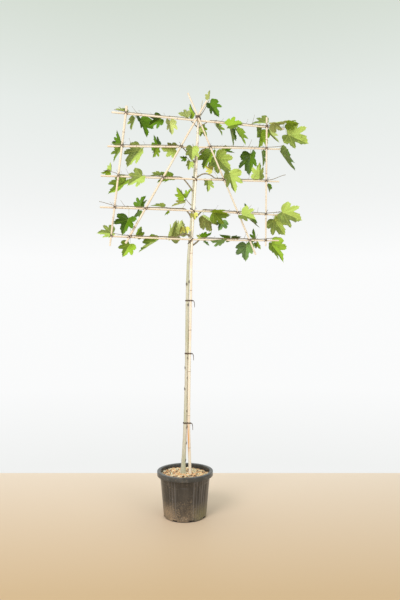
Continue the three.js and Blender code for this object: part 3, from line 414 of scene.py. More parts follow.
def segment_gaps(p1, q1, p2, q2):
    """The shortest distances between the segments p1-q1 and p2-q2."""
    d1, d2, r = q1 - p1, q2 - p2, p1 - p2
    a, e, b = dot(d1, d1), dot(d2, d2), dot(d1, d2)
    c, f = dot(d1, r), dot(d2, r)
    under = a * e - b * b
    s = np.where(under > 1e-9, clamp((b * f - c * e) / np.where(under > 1e-9, under, 1)), 0)
    t = (b * s + f) / e
    held = clamp(t)
    s = np.where(t != held, clamp((b * held - c) / a), s)
    return np.linalg.norm(r + d1 * s[..., None] - d2 * held[..., None], axis=-1)


def pierced(p, q, triangles, margin):
    """Where the segment p-q passes through a triangle, or an end of it is within a margin of its inside."""
    a = triangles[..., 0, :]
    u, v = triangles[..., 1, :] - a, triangles[..., 2, :] - a
    n = unit(np.cross(u, v))
    uu, vv, uv = dot(u, u), dot(v, v), dot(u, v)
    d = uu * vv - uv * uv

    def within(point):
        w = point - a
        wu, wv = dot(w, u), dot(w, v)
        s, t = (wu * vv - wv * uv) / d, (wv * uu - wu * uv) / d
        return (s >= 0) & (t >= 0) & (s + t <= 1)

    hp, hq = dot(p - a, n), dot(q - a, n)
    crosses = hp * hq < 0
    share = np.where(crosses, hp / np.where(crosses, hp - hq, 1), 0)
    met = p + (q - p) * share[..., None]
    near = ((np.abs(hp) < margin) & within(p)) | ((np.abs(hq) < margin) & within(q))
    return near | (crosses & within(met))


class Limbs:
    """The stretches of every limb so far: two ends and a radius each, and whose limb it is."""

    def __init__(self):
        self.ends, self.radii, self.owners = [], [], []

    def add(self, points, radii, owner):
        ends, radii = stretches(points, radii)
        self.ends.extend(ends)
        self.radii.extend(radii)
        self.owners.extend([owner] * len(ends))

    def besides(self, owner):
        """The ends and radii of the stretches of all other limbs."""
        others = [i for i, name in enumerate(self.owners) if name != owner]
        return np.array(self.ends)[others], np.array(self.radii)[others]


def stretches(points, radii):
    """A line of points as pairs of ends, each with the larger of its two radii."""
    points, radii = np.asarray(points), np.asarray(radii)
    return np.stack([points[:-1], points[1:]], 1), np.maximum(radii[:-1], radii[1:])


def leaf_meets(leaf, limbs, margin):
    """Whether the leaf's edges, rays or faces come within a margin of a limb's surface."""
    ends, radii = limbs
    reach = radii + margin
    low, high = ends.min(1) - reach[:, None], ends.max(1) + reach[:, None]
    hit = ((low <= leaf.high) & (high >= leaf.low)).all(-1)
    if not hit.any():
        return False
    reach = reach[hit]
    a, b = ends[hit, 0][None], ends[hit, 1][None]
    p, q = leaf.segments[:, 0][:, None], leaf.segments[:, 1][:, None]
    if (segment_gaps(p, q, a, b) < reach).any():
        return True
    return bool(pierced(a, b, leaf.triangles[:, None], reach).any())


def leaves_meet(one, two, margin):
    """Whether two leaves come within a margin of each other."""
    if (one.low - margin > two.high).any() or (one.high + margin < two.low).any():
        return False
    p, q = one.segments[:, 0][:, None], one.segments[:, 1][:, None]
    u, v = two.segments[:, 0][None], two.segments[:, 1][None]
    return bool(
        (segment_gaps(p, q, u, v) < margin).any()
        or pierced(p, q, two.triangles[None], margin).any()
        or pierced(u, v, one.triangles[:, None], margin).any()
    )


def limbs_meet(one, two, margin=0.8):
    """Whether two lines of stretches come within a margin of each other."""
    (ends, radii), (other_ends, other_radii) = one, two
    gaps = segment_gaps(ends[:, None, 0], ends[:, None, 1], other_ends[None, :, 0], other_ends[None, :, 1])
    return bool((gaps < radii[:, None] + other_radii[None] + margin).any())


# The frame of canes

def post_radius(z):
    """The post tapers evenly from the soil's surface to its top."""
    return mix(POST.foot_radius, POST.top_radius, (z - SOIL.surface) / (POST.top_z - SOIL.surface))


def post_x(z):
    return along(POST_LINE, z, 1)


def post_at(z):
    """The post's middle: its front stays in one upright plane as it tapers."""
    return vec(post_x(z), POST.front_y + post_radius(z), z)


CONTACT_Y = POST.front_y - TOUCH - 2 * RAIL.post_radius - TOUCH / 2


def rail_z(rail, x):
    """Height of a rail's middle line at x: the straight line between its ends, and its bow."""
    t = (x - rail.left[0]) / (rail.right[0] - rail.left[0])
    return mix(rail.left[1], rail.right[1], t) + rail.bow * 4 * t * (1 - t)


def rail_middle(rail):
    return post_x(rail.left[1])


def rail_radius(rail, x):
    """A rail tapers evenly from its left end to the post, and from there to its right end."""
    middle = rail_middle(rail)
    left = mix(RAIL.post_radius, RAIL.left_radius, (middle - x) / (middle - rail.left[0]))
    right = mix(RAIL.post_radius, RAIL.right_radius, (x - middle) / (rail.right[0] - middle))
    return np.where(x < middle, left, right)


def rail_at(rail, x):
    """A rail's middle and radius at x: its front stays in one upright plane."""
    radius = rail_radius(rail, x)
    return vec(x, CONTACT_Y + TOUCH / 2 + radius, rail_z(rail, x)), radius


def cane_x(cane, z):
    """X of a front cane's middle, a straight line from its foot to its top."""
    return mix(cane.foot[0], cane.top[0], (z - cane.foot[1]) / (cane.top[1] - cane.foot[1]))


def front_cane_at(cane, z):
    """A cane in front of the rails; the rake that goes over bows out where the two cross at the apex."""
    t = (z - cane.foot[1]) / (cane.top[1] - cane.foot[1])
    radius = mix(cane.foot_radius, cane.top_radius, t)
    under = mix(RAKES[0].foot_radius, RAKES[0].top_radius, 0.88)
    rise = ease((z - APEX.z + APEX.reach) / (APEX.reach - 30))
    over = cane.over * (2 * under + 2 * TOUCH) * rise
    return vec(cane_x(cane, z), CONTACT_Y - TOUCH / 2 - radius - over, z), radius


def crossing_x(rail, front):
    """X where a cane crosses a rail, found by going from one to the other and back."""
    x = front.foot[0]
    for _ in range(12):
        x = cane_x(front, rail_z(rail, x))
    return x


def cane_knots(start, end, crossings, seed):
    """Places of a cane's knots by seeded draws, none too near another cane."""
    draw = seeded(seed)
    count = math.floor(abs(end - start) / KNOTS.spacing + 0.5)
    places = [mix(start, end, (i + 0.3 + 0.4 * draw()) / count) for i in range(count)]
    return [s for s in places if all(abs(c - s) > KNOTS.clear for c in crossings)]


@functools.cache
def canes():
    """Every cane but the post: name, the line it follows, its ends, its crossings and its knots."""
    made = []

    def add(name, line, ends, crossings, seed):
        knots = cane_knots(*ends, crossings, seed)
        made.append(Named(name=name, line=line, ends=ends, crossings=crossings, knots=knots))

    for i, rail in enumerate(RAILS):
        crossings = [crossing_x(rail, front) for front in FRONT_CANES]
        crossings.append(float(post_x(rail_z(rail, rail_middle(rail)))))
        ends = rail.left[0], rail.right[0]
        add(f"rail_{i + 1}", functools.partial(rail_at, rail), ends, crossings, SEEDS.rails + i)
    for i, front in enumerate(FRONT_CANES):
        crossings = [float(rail_z(rail, crossing_x(rail, front))) for rail in RAILS]
        ends = front.foot[1], front.top[1]
        add(front.name, functools.partial(front_cane_at, front), ends, crossings, SEEDS.front_canes + i)
    return made


# The trunk

def trunk_radius(z):
    """The table's radius, and a flare that falls off as exp(-height over the soil / flare height)."""
    flare = TRUNK.flare * np.exp(-(z - SOIL.surface) / TRUNK.flare_height)
    return along(TRUNK_LINE, z, 2) + flare


def trunk_at(z):
    """The trunk's middle beside the post where there is room, and behind it where the two come close."""
    x = along(TRUNK_LINE, z, 1)
    held = np.minimum(z, POST.top_z)
    post = post_at(held)
    room = along(TRUNK_LINE, z, 2) + TRUNK.knot_swell + post_radius(held) + 2 * TOUCH
    aside = x - post[..., 0]
    return vec(x, post[..., 1] + np.sqrt(np.maximum(0, room * room - aside * aside)), z)


def trunk_rings():
    """The plain rings of the trunk, with a seeded swelling at every third one."""
    draw = seeded(TRUNK.seed)
    z = mix(SOIL.surface + TOUCH, TRUNK.top_z, np.arange(TRUNK.rings + 1) / TRUNK.rings)
    fade = ease((TRUNK.top_z - z) / 900)
    swell = [TRUNK.knot_swell * draw() * fade[i] if i % 3 == 1 else 0 for i in range(TRUNK.rings + 1)]
    return trunk_at(z), trunk_radius(z) + np.array(swell)


# Boughs and shoots

def curve_through(points, count):
    """The centripetal Catmull-Rom curve through the points, in equal steps of its own measure."""
    points = np.asarray(points, float)
    last = len(points) - 1
    wide = np.vstack([2 * points[0] - points[1], points, 2 * points[-1] - points[-2]])
    s = np.linspace(0, last, count + 1)
    i = np.minimum(s.astype(int), last - 1)
    t = (s - i)[:, None]
    p0, p1, p2, p3 = (wide[i + k] for k in range(4))
    d0, d1, d2 = (np.linalg.norm(step, axis=-1, keepdims=True) ** 0.5 for step in (p1 - p0, p2 - p1, p3 - p2))
    t1 = ((p1 - p0) / d0 - (p2 - p0) / (d0 + d1) + (p2 - p1) / d1) * d1
    t2 = ((p2 - p1) / d1 - (p3 - p1) / (d1 + d2) + (p3 - p2) / d2) * d1
    return p1 + t1 * t + (3 * (p2 - p1) - 2 * t1 - t2) * t**2 + (2 * (p1 - p2) + t1 + t2) * t**3


def bezier(a, b, c, d, t):
    """The cubic Bezier curve from a to d, drawn towards b and c."""
    t = np.asarray(t)[:, None]
    return (1 - t) ** 3 * a + 3 * t * (1 - t) ** 2 * b + 3 * t * t * (1 - t) * c + t**3 * d


def shoot_start(shoot):
    return SHOOT.start * along(TRUNK_LINE, rail_z(shoot.rail, rail_middle(shoot.rail)), 2)


def shoot_at(shoot, distance):
    """A shoot's middle line and radius at distances from the post: on its rail, lifting off it at the tip."""
    rail = shoot.rail
    x = rail_middle(rail) + shoot.side * distance
    beyond = np.maximum(x, rail.left[0]) if shoot.side < 0 else np.minimum(x, rail.right[0])
    point, rail_r = rail_at(rail, beyond)
    run = (distance - shoot.start) / (shoot.reach - shoot.start)
    radius = mix(shoot_start(shoot), SHOOT.tip, clamp(run))
    lift = shoot.lift * ease((run - 0.72) / 0.28) * clamp((run - 0.6) / 0.4)
    slope = (rail.right[1] - rail.left[1]) / (rail.right[0] - rail.left[0])
    z = point[..., 2] + slope * (x - beyond) + rail_r + RAIL.knot_swell + radius + TOUCH + lift
    return vec(x, point[..., 1], z), radius


def bough_line(shoot, count):
    """A bough comes up from behind its rail and rolls over it, or comes down on the rail from above."""
    rail = shoot.rail
    end, end_radius = shoot_at(shoot, shoot.start)
    axis_z = rail_z(rail, end[0]) + shoot.root
    start = trunk_at(axis_z)
    clear = rail_radius(rail, end[0]) + end_radius + 2 * TOUCH + 0.8
    post = post_at(axis_z)
    beyond = post[1] + post_radius(axis_z) + end_radius * 1.3 + 3

    def spot(u, back, height):
        x = mix(post[0], end[0], u)
        return vec(x, end[1] + back, rail_z(rail, x) + height)

    points = [start]
    if shoot.side > 0:
        points.append(vec(post[0] + 3, max(beyond, start[1]), mix(axis_z, end[2], 0.12)))
    root = shoot.root
    from_below = (
        (0.4, clear + 3, root * 0.45), (0.6, clear + 1, root * 0.12),
        (0.76, clear * 0.82, clear * 0.6), (0.9, clear * 0.24, clear),
    )  # fmt: skip
    from_above = (
        (0.3, clear + 2, root + 12), (0.52, clear * 0.6, root + 14),
        (0.74, clear * 0.1, root + 2), (0.9, 0, clear + 1.5),
    )  # fmt: skip
    points += [spot(*place) for place in (from_below if root < 0 else from_above)]
    return curve_through(points + [end], count)


def bough_radii(shoot, points):
    """A bough's radius eases from a share of the trunk's to its shoot's."""
    thick = SHOOT.at_trunk * trunk_radius(points[0, 2])
    return mix(thick, shoot_start(shoot), ease(np.linspace(0, 1, len(points))))


def shoot_line(shoot):
    """The plain points and radii of a shoot, a touch away from its bough's tip."""
    count = math.ceil((shoot.reach - shoot.start) / SHOOT.step)
    points, radii = shoot_at(shoot, mix(shoot.start, shoot.reach, np.arange(count + 1) / count))
    points[0, 0] += shoot.side * TOUCH
    return points, radii


def spur_line(one):
    """Base on the trunk's middle, and the spur's line as a function of the distance along it."""
    base = trunk_at(one.z)
    heading, climb = math.radians(one.heading), math.radians(one.climb)
    level = vec(math.cos(heading), math.sin(heading), 0)
    way = level * math.cos(climb) + vec(0, 0, math.sin(climb))

    def at(s):
        s = np.asarray(s, float)[..., None]
        bend = 14 * s * (one.length - s) / one.length**2
        return base + way * (s + trunk_radius(one.z)) + level * bend

    return base, at


# Leaves and twigs by the seeded rule

def make_leaf(junction, way, side, length, fold, droop, web):
    """A leaf's frame and its plain outline.

    A rim point at w across and l along lies at junction + length * (w side + l way + n normal),
    with n = -fold |w| - droop r, r the distance from the junction.
    """
    normal = np.cross(side, way)
    half = np.array(OUTLINE)
    rays = np.concatenate([half, half[-2:0:-1] * (-1, 1, 1)])
    turn, radius = np.radians(rays[:, 0]), rays[:, 1] + web * rays[:, 2]
    w, l = radius * np.sin(turn), radius * np.cos(turn)
    n = -fold * np.abs(w) - droop * radius
    rim = junction + length * (w[:, None] * side + l[:, None] * way + n[:, None] * normal)
    after = np.roll(rim, -1, axis=0)
    centre = np.broadcast_to(junction, rim.shape)
    segments = np.concatenate([np.stack([rim, after], 1), np.stack([centre, rim], 1)])
    triangles = np.stack([centre, rim, after], 1)
    low, high = np.minimum(rim.min(0), junction), np.maximum(rim.max(0), junction)
    return Named(
        junction=junction, way=way, side=side, normal=normal, length=length, fold=fold, droop=droop, web=web,
        segments=segments, triangles=triangles, low=low, high=high,
    )  # fmt: skip


def stalk_hooks(root, leaf, rise):
    """The four control points of a stalk's curve, from the shoot to the blade's heel."""
    reach = np.linalg.norm(root - leaf.junction)
    first = root + vec(0, 0.3 * (leaf.junction[1] - root[1]), rise)
    last = leaf.junction + leaf.way * (-0.09 * leaf.length - 0.25 * reach)
    return root, first, last, leaf.junction - leaf.way * (0.09 * leaf.length)


class Growth:
    """What the rule grows: limbs that later pieces keep clear of, leaves with their stalks, and twigs."""

    def __init__(self):
        self.limbs, self.leaves, self.twigs = Limbs(), [], []

    def stalk_is_free(self, pieces, others):
        return not limbs_meet(pieces, others) and not any(leaf_meets(leaf, pieces, 1) for leaf in self.leaves)

    def leaf(self, owner, root, heel, length, lean, turn, depth, seed, tone):
        """Tries seeded draws, each tamer and deeper than the last, until the leaf clears limbs and leaves."""
        draw = seeded(seed)
        others = self.limbs.besides(owner)
        for k in range(LEAF.tries):
            tame = 1 - k / LEAF.tries
            swing = math.radians(lean + (draw() - 0.5) * LEAF.swing)
            pitch = math.radians((draw() - 0.5) * LEAF.pitch * tame)
            yaw = math.radians(turn * (0.45 + 0.55 * tame) + (draw() - 0.5) * LEAF.yaw)
            heel_y = DEPTH.front_y if depth < 0 else DEPTH.behind_y
            deep = heel_y + depth * DEPTH.spread * (draw() + k / 8)
            slide = (draw() - 0.5) * LEAF.slide
            fold = 0.22 + 0.4 * draw()
            droop = 0.02 + 0.2 * draw()
            web = draw()
            junction = vec(heel[0] + slide, deep, heel[2])
            way = vec(math.sin(swing) * math.cos(pitch), -math.sin(pitch), -math.cos(swing) * math.cos(pitch))
            flat = vec(math.cos(swing), 0, math.sin(swing))
            side = flat * math.cos(yaw) + np.cross(flat, way) * math.sin(yaw)
            leaf = make_leaf(junction, way, side, length, fold, droop, web)
            hooks = stalk_hooks(root, leaf, 8 + 0.35 * max(0, root[2] - junction[2] - 40))
            line = bezier(*hooks, np.arange(1, 4) / 3)
            if (
                not leaf_meets(leaf, others, LEAF.clear)
                and not any(leaves_meet(leaf, other, LEAF.clear) for other in self.leaves)
                and self.stalk_is_free(stretches(line, LEAF.stalk_radii), others)
            ):
                leaf.tone, leaf.seed, leaf.hooks = tone, seed, hooks
                self.leaves.append(leaf)
                self.limbs.add(line, LEAF.stalk_radii, owner)
                return

    def twig(self, owner, root, way, length, radius):
        """A bare twig from root: one that would touch another limb or a leaf is skipped."""
        points = root + way * (np.array([0, 0.5, 1]) * length)[:, None]
        points[2, 2] += 0.12 * length
        radii = np.array([0.8, 1, 0.5]) * radius
        if self.stalk_is_free(stretches(points, radii), self.limbs.besides(owner)):
            self.limbs.add(points, radii, owner)
            self.twigs.append((points, radius))


def shoot_twig(growth, shoot, owner, seed):
    """One of the twigs that the plain model has too."""
    draw = seeded(seed)
    root, _ = shoot_at(shoot, mix(shoot.start + 50, shoot.reach - 30, draw()))
    length = SHOOT.twig_length * (0.7 + 0.9 * draw())
    way = unit(vec(shoot.side * (0.2 + 0.7 * draw()), 0.8 * (draw() - 0.5), 0.9))
    growth.twig(owner, root, way, length, SHOOT.twig_radius)


def fine_twig(growth, shoot, owner, seed):
    """A small bare twig that the plain model leaves out."""
    draw = seeded(seed)
    root, _ = shoot_at(shoot, mix(shoot.start + 30, shoot.reach - 12, draw()))
    way = unit(vec(shoot.side * (0.3 + 0.8 * draw()), 0.9 * (draw() - 0.4), 0.9 * draw() + 0.1))
    growth.twig(owner, root, way, 12 + 20 * draw(), SHOOT.fine_radius)


@functools.cache
def grown():
    """Runs the rule: canes, trunk and boughs, the shoots' leaves and twigs, the spurs, and fine twigs."""
    growth = Growth()
    z = mix(SOIL.surface + TOUCH, POST.top_z, np.arange(19) / 18)
    growth.limbs.add(post_at(z), post_radius(z) - np.where(np.arange(19) % 3 == 2, 0, TOUCH), "post")
    for cane in canes():
        beside = [k + d for k in cane.knots for d in (-KNOTS.beside, 0, KNOTS.beside)]
        stations = np.array(sorted([*cane.ends, *beside, *cane.crossings]))
        points, radii = cane.line(stations)
        growth.limbs.add(points, radii + np.isin(stations, cane.knots) * RAIL.knot_swell, cane.name)
    growth.limbs.add(*trunk_rings(), "trunk")
    for one in SHOOTS:
        points = bough_line(one, 8)
        growth.limbs.add(points, bough_radii(one, points), f"bough_{one.name}")
        growth.limbs.add(*shoot_line(one), f"leaves_{one.name}")
    for one in SHOOTS:
        owner = f"leaves_{one.name}"
        for k, (at, up, length, lean, turn) in enumerate(one.behind + one.front):
            back = one.side * STALK * math.sin(math.radians(lean))
            root, _ = shoot_at(one, min(max(at - back, one.start + 8), one.reach - 1))
            heel = shoot_at(one, at)[0] + vec(0, 0, up)
            depth = 1 if k < len(one.behind) else -1
            growth.leaf(owner, root, heel, length, lean, turn, depth, one.seed * 100 + k + 1, one.tones[k])
        for k in range(SHOOT.twigs):
            shoot_twig(growth, one, owner, one.seed * 100 + 50 + k)
    for one in SPURS:
        owner = f"leaves_{one.name}"
        base, at = spur_line(one)
        points = np.vstack([base, at(one.length * np.arange(4) / 3)])
        growth.limbs.add(points[1:], mix(one.radius, 1.6, np.arange(5) / 4)[1:], owner)
        for k, (distance, length, lean, turn) in enumerate(one.leaves):
            root, swing = at(distance), math.radians(lean)
            heel = root + vec(math.sin(swing), 0, -math.cos(swing)) * STALK
            growth.leaf(owner, root, heel, length, lean, turn, one.depth, one.seed * 100 + k, one.tones[k])
    for one in SHOOTS:
        for k in range(SHOOT.fine_twigs):
            fine_twig(growth, one, f"leaves_{one.name}", one.seed * 100 + 70 + k)
    return growth


# Surfaces and meshes

class Shell:
    """Closed surfaces gathered into one mesh: points in millimetres, faces, and two coordinates a corner."""

    def __init__(self):
        self.points, self.corners, self.sizes, self.pairs, self.looks, self.marks = [], [], [], [], [], []
        self.count = 0

    def put(self, points, marks=0.0):
        """Adds points, and gives the index of the first."""
        self.points.append(points)
        self.marks.append(np.broadcast_to(marks, len(points)))
        self.count += len(points)
        return self.count - len(points)

    def join(self, first, faces, pairs, look=0):
        """Adds faces of 3 or 4 indices, counted from the point first, with a pair for each corner."""
        self.corners.append((faces + first).ravel())
        self.sizes.append(np.full(len(faces), faces.shape[1]))
        self.pairs.append(np.broadcast_to(pairs, faces.shape + (2,)).reshape(-1, 2))
        self.looks.append(np.broadcast_to(look, len(faces)))

    def piece(self, name, finishes, crease=40):
        """Puts it all into one object on the tree's body; edges sharper than crease degrees stay sharp."""
        mesh = bpy.data.meshes.new(name)
        corners, totals = np.concatenate(self.corners), np.concatenate(self.sizes)
        mesh.vertices.add(self.count)
        mesh.vertices.foreach_set("co", (np.concatenate(self.points) * MM).astype(np.float32).ravel())
        mesh.loops.add(len(corners))
        mesh.loops.foreach_set("vertex_index", corners.astype(np.int32))
        mesh.polygons.add(len(totals))
        mesh.polygons.foreach_set("loop_start", (np.cumsum(totals) - totals).astype(np.int32))
        mesh.polygons.foreach_set("material_index", np.concatenate(self.looks).astype(np.int32))
        layer = mesh.uv_layers.new(name="surface")
        layer.data.foreach_set("uv", np.concatenate(self.pairs).astype(np.float32).ravel())
        mark = mesh.attributes.new("mark", "FLOAT", "POINT")
        mark.data.foreach_set("value", np.concatenate(self.marks).astype(np.float32))
        mesh.update(calc_edges=True)
        if mesh.validate(clean_customdata=False):
            raise RuntimeError(f"{name} has faces that Blender had to mend")
        mesh.polygons.foreach_set("use_smooth", np.ones(len(totals), bool))
        mesh.set_sharp_from_angle(angle=math.radians(crease))
        for finish in finishes:
            mesh.materials.append(finish)
        made = bpy.data.objects.new(name, mesh)
        bpy.context.scene.collection.objects.link(made)
        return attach(made, "root")


def ring_faces(rings, sides):
    """Quads between rings of points in order, closed round each ring, with their grid places."""
    i, k = (place.ravel() for place in np.meshgrid(np.arange(rings - 1), np.arange(sides), indexing="ij"))
    after = (k + 1) % sides
    faces = np.stack([i * sides + k, i * sides + after, (i + 1) * sides + after, (i + 1) * sides + k], 1)
    places = np.stack([np.stack([k + a, i + b], -1) for a, b in ((0, 0), (1, 0), (1, 1), (0, 1))], 1)
    return faces, places


def fan(heart, rim):
    """Triangles from one point to each step round a closed rim of points."""
    return np.stack([np.full(len(rim), heart), rim, np.roll(rim, -1)], 1)


def lay(shell, grid, measure, mark=0.0, start=None, end=None):
    """Adds the surface through a grid of rings (rings, sides, 3), closed by a pole or a flat fan at each end.

    The first coordinate is the share of the turn and the second is the measure of each ring along it.
    """
    rings, sides, _ = grid.shape
    start = grid[0].mean(0) if start is None else start
    end = grid[-1].mean(0) if end is None else end
    points = np.concatenate([grid.reshape(-1, 3), start[None], end[None]])
    mark = np.reshape(mark, (-1, 1)) if np.ndim(mark) == 1 else mark
    marks = np.broadcast_to(mark, (rings, sides)).ravel()
    marks = np.concatenate([marks, marks[:1], marks[-1:]])
    first = shell.put(points, marks)
    faces, places = ring_faces(rings, sides)
    shell.join(first, faces, np.stack([places[..., 0] / sides, measure[places[..., 1]]], -1))
    k = np.arange(sides)
    shares = np.stack([k + 0.5, k + 1.0, k + 0.0], 1) / sides
    first_fan = fan(rings * sides, k)[:, [0, 2, 1]]
    last_fan = fan(rings * sides + 1, (rings - 1) * sides + k)
    for triangles, value in ((first_fan, measure[0]), (last_fan, measure[-1])):
        shell.join(first, triangles, np.stack([shares, np.full((sides, 3), value)], -1))


def carried(points):
    """Two ways across a line at each of its points, carried along it without a twist."""
    ways = unit(np.gradient(points, axis=0))
    across = np.empty_like(points)
    now = np.array([0.0, -1, 0])
    for i, way in enumerate(ways):
        now = now - way * (now @ way)
        if np.linalg.norm(now) < 0.2:
            now = np.array([1.0, 0, 0]) - way * way[0]
        now = now / np.linalg.norm(now)
        across[i] = now
    return across, np.cross(ways, across)


def ringed(points, across, other, reach):
    """Rings round points: point + reach * (across cos turn + other sin turn), the reach by point and turn."""
    turn = turns_round(reach.shape[1])
    ring = across[:, None] * np.cos(turn)[None, :, None] + other[:, None] * np.sin(turn)[None, :, None]
    return points[:, None] + ring * reach[..., None]


def tube(points, radii, sides, relief=0):
    """Rings of radius + relief round a line, carried along it without a twist."""
    reach = np.broadcast_to(np.asarray(radii, float)[:, None], (len(points), sides)) + relief
    return ringed(points, *carried(points), reach)


def run_of(points):
    """Distance along a line at each of its points, in metres."""
    steps = np.linalg.norm(np.diff(points, axis=0), axis=-1)
    return np.concatenate([[0], np.cumsum(steps)]) * MM


def lay_tube(shell, points, radii, sides, mark=0.0, relief=0, round_tip=False):
    """Adds a tube round a line, with a flat end or a tip 0.7 of its last radius long."""
    end = points[-1] + unit(points[-1] - points[-2]) * radii[-1] * 0.7 if round_tip else None
    lay(shell, tube(points, radii, sides, relief), run_of(points), mark, end=end)


# Finishes

class Finish:
    """A procedural material, with short ways to add the nodes that the finishes here share."""

    def __init__(self, name, roughness, **settings):
        self.material = bpy.data.materials.new(name)
        self.material.use_nodes = True
        self.tree = self.material.node_tree
        self.shader = self.tree.nodes["Principled BSDF"]
        self.shader.inputs["Roughness"].default_value = roughness
        for socket, value in settings.items():
            self.shader.inputs[socket.replace("_", " ")].default_value = value

    def node(self, kind, **settings):
        made = self.tree.nodes.new(kind)
        for key, value in settings.items():
            setattr(made, key, value)
        return made

    def set(self, socket, value):
        if isinstance(value, bpy.types.NodeSocket):
            self.tree.links.new(value, socket)
        elif hasattr(value, "__len__") and len(value) == 3 and socket.type == "RGBA":
            socket.default_value = (*value, 1)
        else:
            socket.default_value = value

    def sum(self, operation, a, b=0.0, c=0.0):
        """A node of the Math kind: MULTIPLY_ADD, for one, gives a * b + c."""
        made = self.node("ShaderNodeMath", operation=operation)
        for socket, value in zip(made.inputs, (a, b, c)):
            self.set(socket, value)
        return made.outputs[0]

    def times(self, a, b):
        return self.sum("MULTIPLY", a, b)

    def length(self, a, b):
        return self.sum("SQRT", self.sum("ADD", self.times(a, a), self.times(b, b)))

    def furthest(self, operation, values):
        """The MINIMUM or the MAXIMUM of several values."""
        return functools.reduce(functools.partial(self.sum, operation), values)

    def spot(self):
        """Object coordinates."""
        return self.node("ShaderNodeTexCoord").outputs["Object"]

    def own(self):
        """The piece's own coordinates: share of the turn, and metres along."""
        return self.node("ShaderNodeUVMap", uv_map="surface").outputs[0]

    def apart(self, where):
        """The three numbers of a place."""
        made = self.node("ShaderNodeSeparateXYZ")
        self.set(made.inputs[0], where)
        return made.outputs

    def mark(self):
        return self.node("ShaderNodeAttribute", attribute_name="mark").outputs["Fac"]

    def noise(self, scale, detail, stretch=(1, 1, 1), rough=0.55, warp=0.0, own=False):
        """Noise over the piece's object coordinates or its own, drawn out by a scale along each axis."""
        where = self.node("ShaderNodeMapping")
        self.set(where.inputs["Vector"], self.own() if own else self.spot())
        where.inputs["Scale"].default_value = stretch
        made = self.node("ShaderNodeTexNoise")
        self.set(made.inputs["Vector"], where.outputs[0])
        settings = {"Scale": scale, "Detail": detail, "Roughness": rough, "Distortion": warp}
        for socket, value in settings.items():
            made.inputs[socket].default_value = value
        return made.outputs["Fac"]

    def between(self, value, low, high, out_low=0.0, out_high=1.0):
        """Follows value smoothly from out_low at low to out_high at high."""
        made = self.node("ShaderNodeMapRange", interpolation_type="SMOOTHSTEP")
        for socket, given in zip(made.inputs, (value, low, high, out_low, out_high)):
            self.set(socket, given)
        return made.outputs[0]

    def blend(self, share, a, b):
        made = self.node("ShaderNodeMix", data_type="RGBA")
        for index, value in ((0, share), (6, a), (7, b)):
            self.set(made.inputs[index], value)
        return made.outputs[2]

    def tint(self, body, colour, value, low, high, most=1.0):
        """Blends the body into a colour, not at all where value is low and at most where it is high."""
        return self.blend(self.between(value, low, high, 0.0, most), body, colour)

    def done(self, base, roughness=None, height=None, depth=0.001, strength=1.0):
        """Links the colour, the roughness, and a bump of the given depth."""
        self.set(self.shader.inputs["Base Color"], base)
        if roughness is not None:
            self.set(self.shader.inputs["Roughness"], roughness)
        if height is not None:
            bump = self.node("ShaderNodeBump")
            bump.inputs["Distance"].default_value = depth
            bump.inputs["Strength"].default_value = strength
            self.set(bump.inputs["Height"], height)
            self.set(self.shader.inputs["Normal"], bump.outputs[0])
        return self.material


def shade(rgb, *factors):
    """A colour times one factor, or times a factor for each channel."""
    return tuple(min(1.0, c * f) for c, f in zip(rgb, factors if len(factors) == 3 else factors * 3))


def mixed(a, b, t):
    """The colour a share t of the way from a to b."""
    return tuple(mix(x, y, t) for x, y in zip(a, b))


def leaf_finish(name, base, gloss):
    """A blade: paler veins by the leaf's own coordinates, one half painted lighter and the other darker for
    the shade of a fold, blotches, and a bump for the veins.

    In the leaf's plane the veins are the rays at 0, 43 and 90 degrees from the midrib, and chevrons
    that branch off the nearest ray at even steps.
    """
    made = Finish(name, gloss, Specular_IOR_Level=0.16)
    own = made.apart(made.own())
    across = made.sum("SUBTRACT", own[0], LEAF_MIDDLE[0])
    w, l = made.sum("ABSOLUTE", across), made.sum("SUBTRACT", own[1], LEAF_MIDDLE[1])
    turn, reach = made.sum("ARCTAN2", w, l), made.length(w, l)
    rays = (made.sum("SUBTRACT", turn, math.radians(ray)) for ray in VEIN_TURNS)
    off = made.furthest("MINIMUM", [made.sum("ABSOLUTE", ray) for ray in rays])
    aside, ahead = made.times(reach, made.sum("SINE", off)), made.times(reach, made.sum("COSINE", off))
    main = made.between(aside, 0.002, 0.014, 1.0, 0.0)
    chevron = made.sum("PINGPONG", made.sum("SUBTRACT", ahead, made.times(aside, 0.8)), 0.045)
    net = made.sum("MAXIMUM", main, made.between(chevron, 0.0, 0.009, 0.7, 0.0))
    blotch, fine = made.noise(26, 3), made.noise(420, 2)
    # Painted shade: besides random blotches, sheen steps across the midrib, so one half of each blade is
    # painted lighter and the other darker, as a fold is lit.
    sheen = made.sum("ADD", blotch, made.between(across, -0.015, 0.015, -0.2, 0.2))
    body = made.tint(shade(base, 0.5), shade(base, 1.42), sheen, 0.3, 0.7)
    body = made.tint(body, shade(base, 1.5), fine, 0.5, 0.75, 0.25)
    pale = (min(1, base[0] * 1.7 + 0.1), min(1, base[1] * 1.4 + 0.1), min(1, base[2] * 1.4 + 0.03))
    body = made.blend(made.times(net, 0.5), body, pale)
    relief = made.sum("SUBTRACT", made.times(fine, 0.25), net)
    return made.done(body, made.between(blotch, 0.3, 0.7, gloss - 0.07, gloss + 0.1), relief, 0.0007, 0.6)


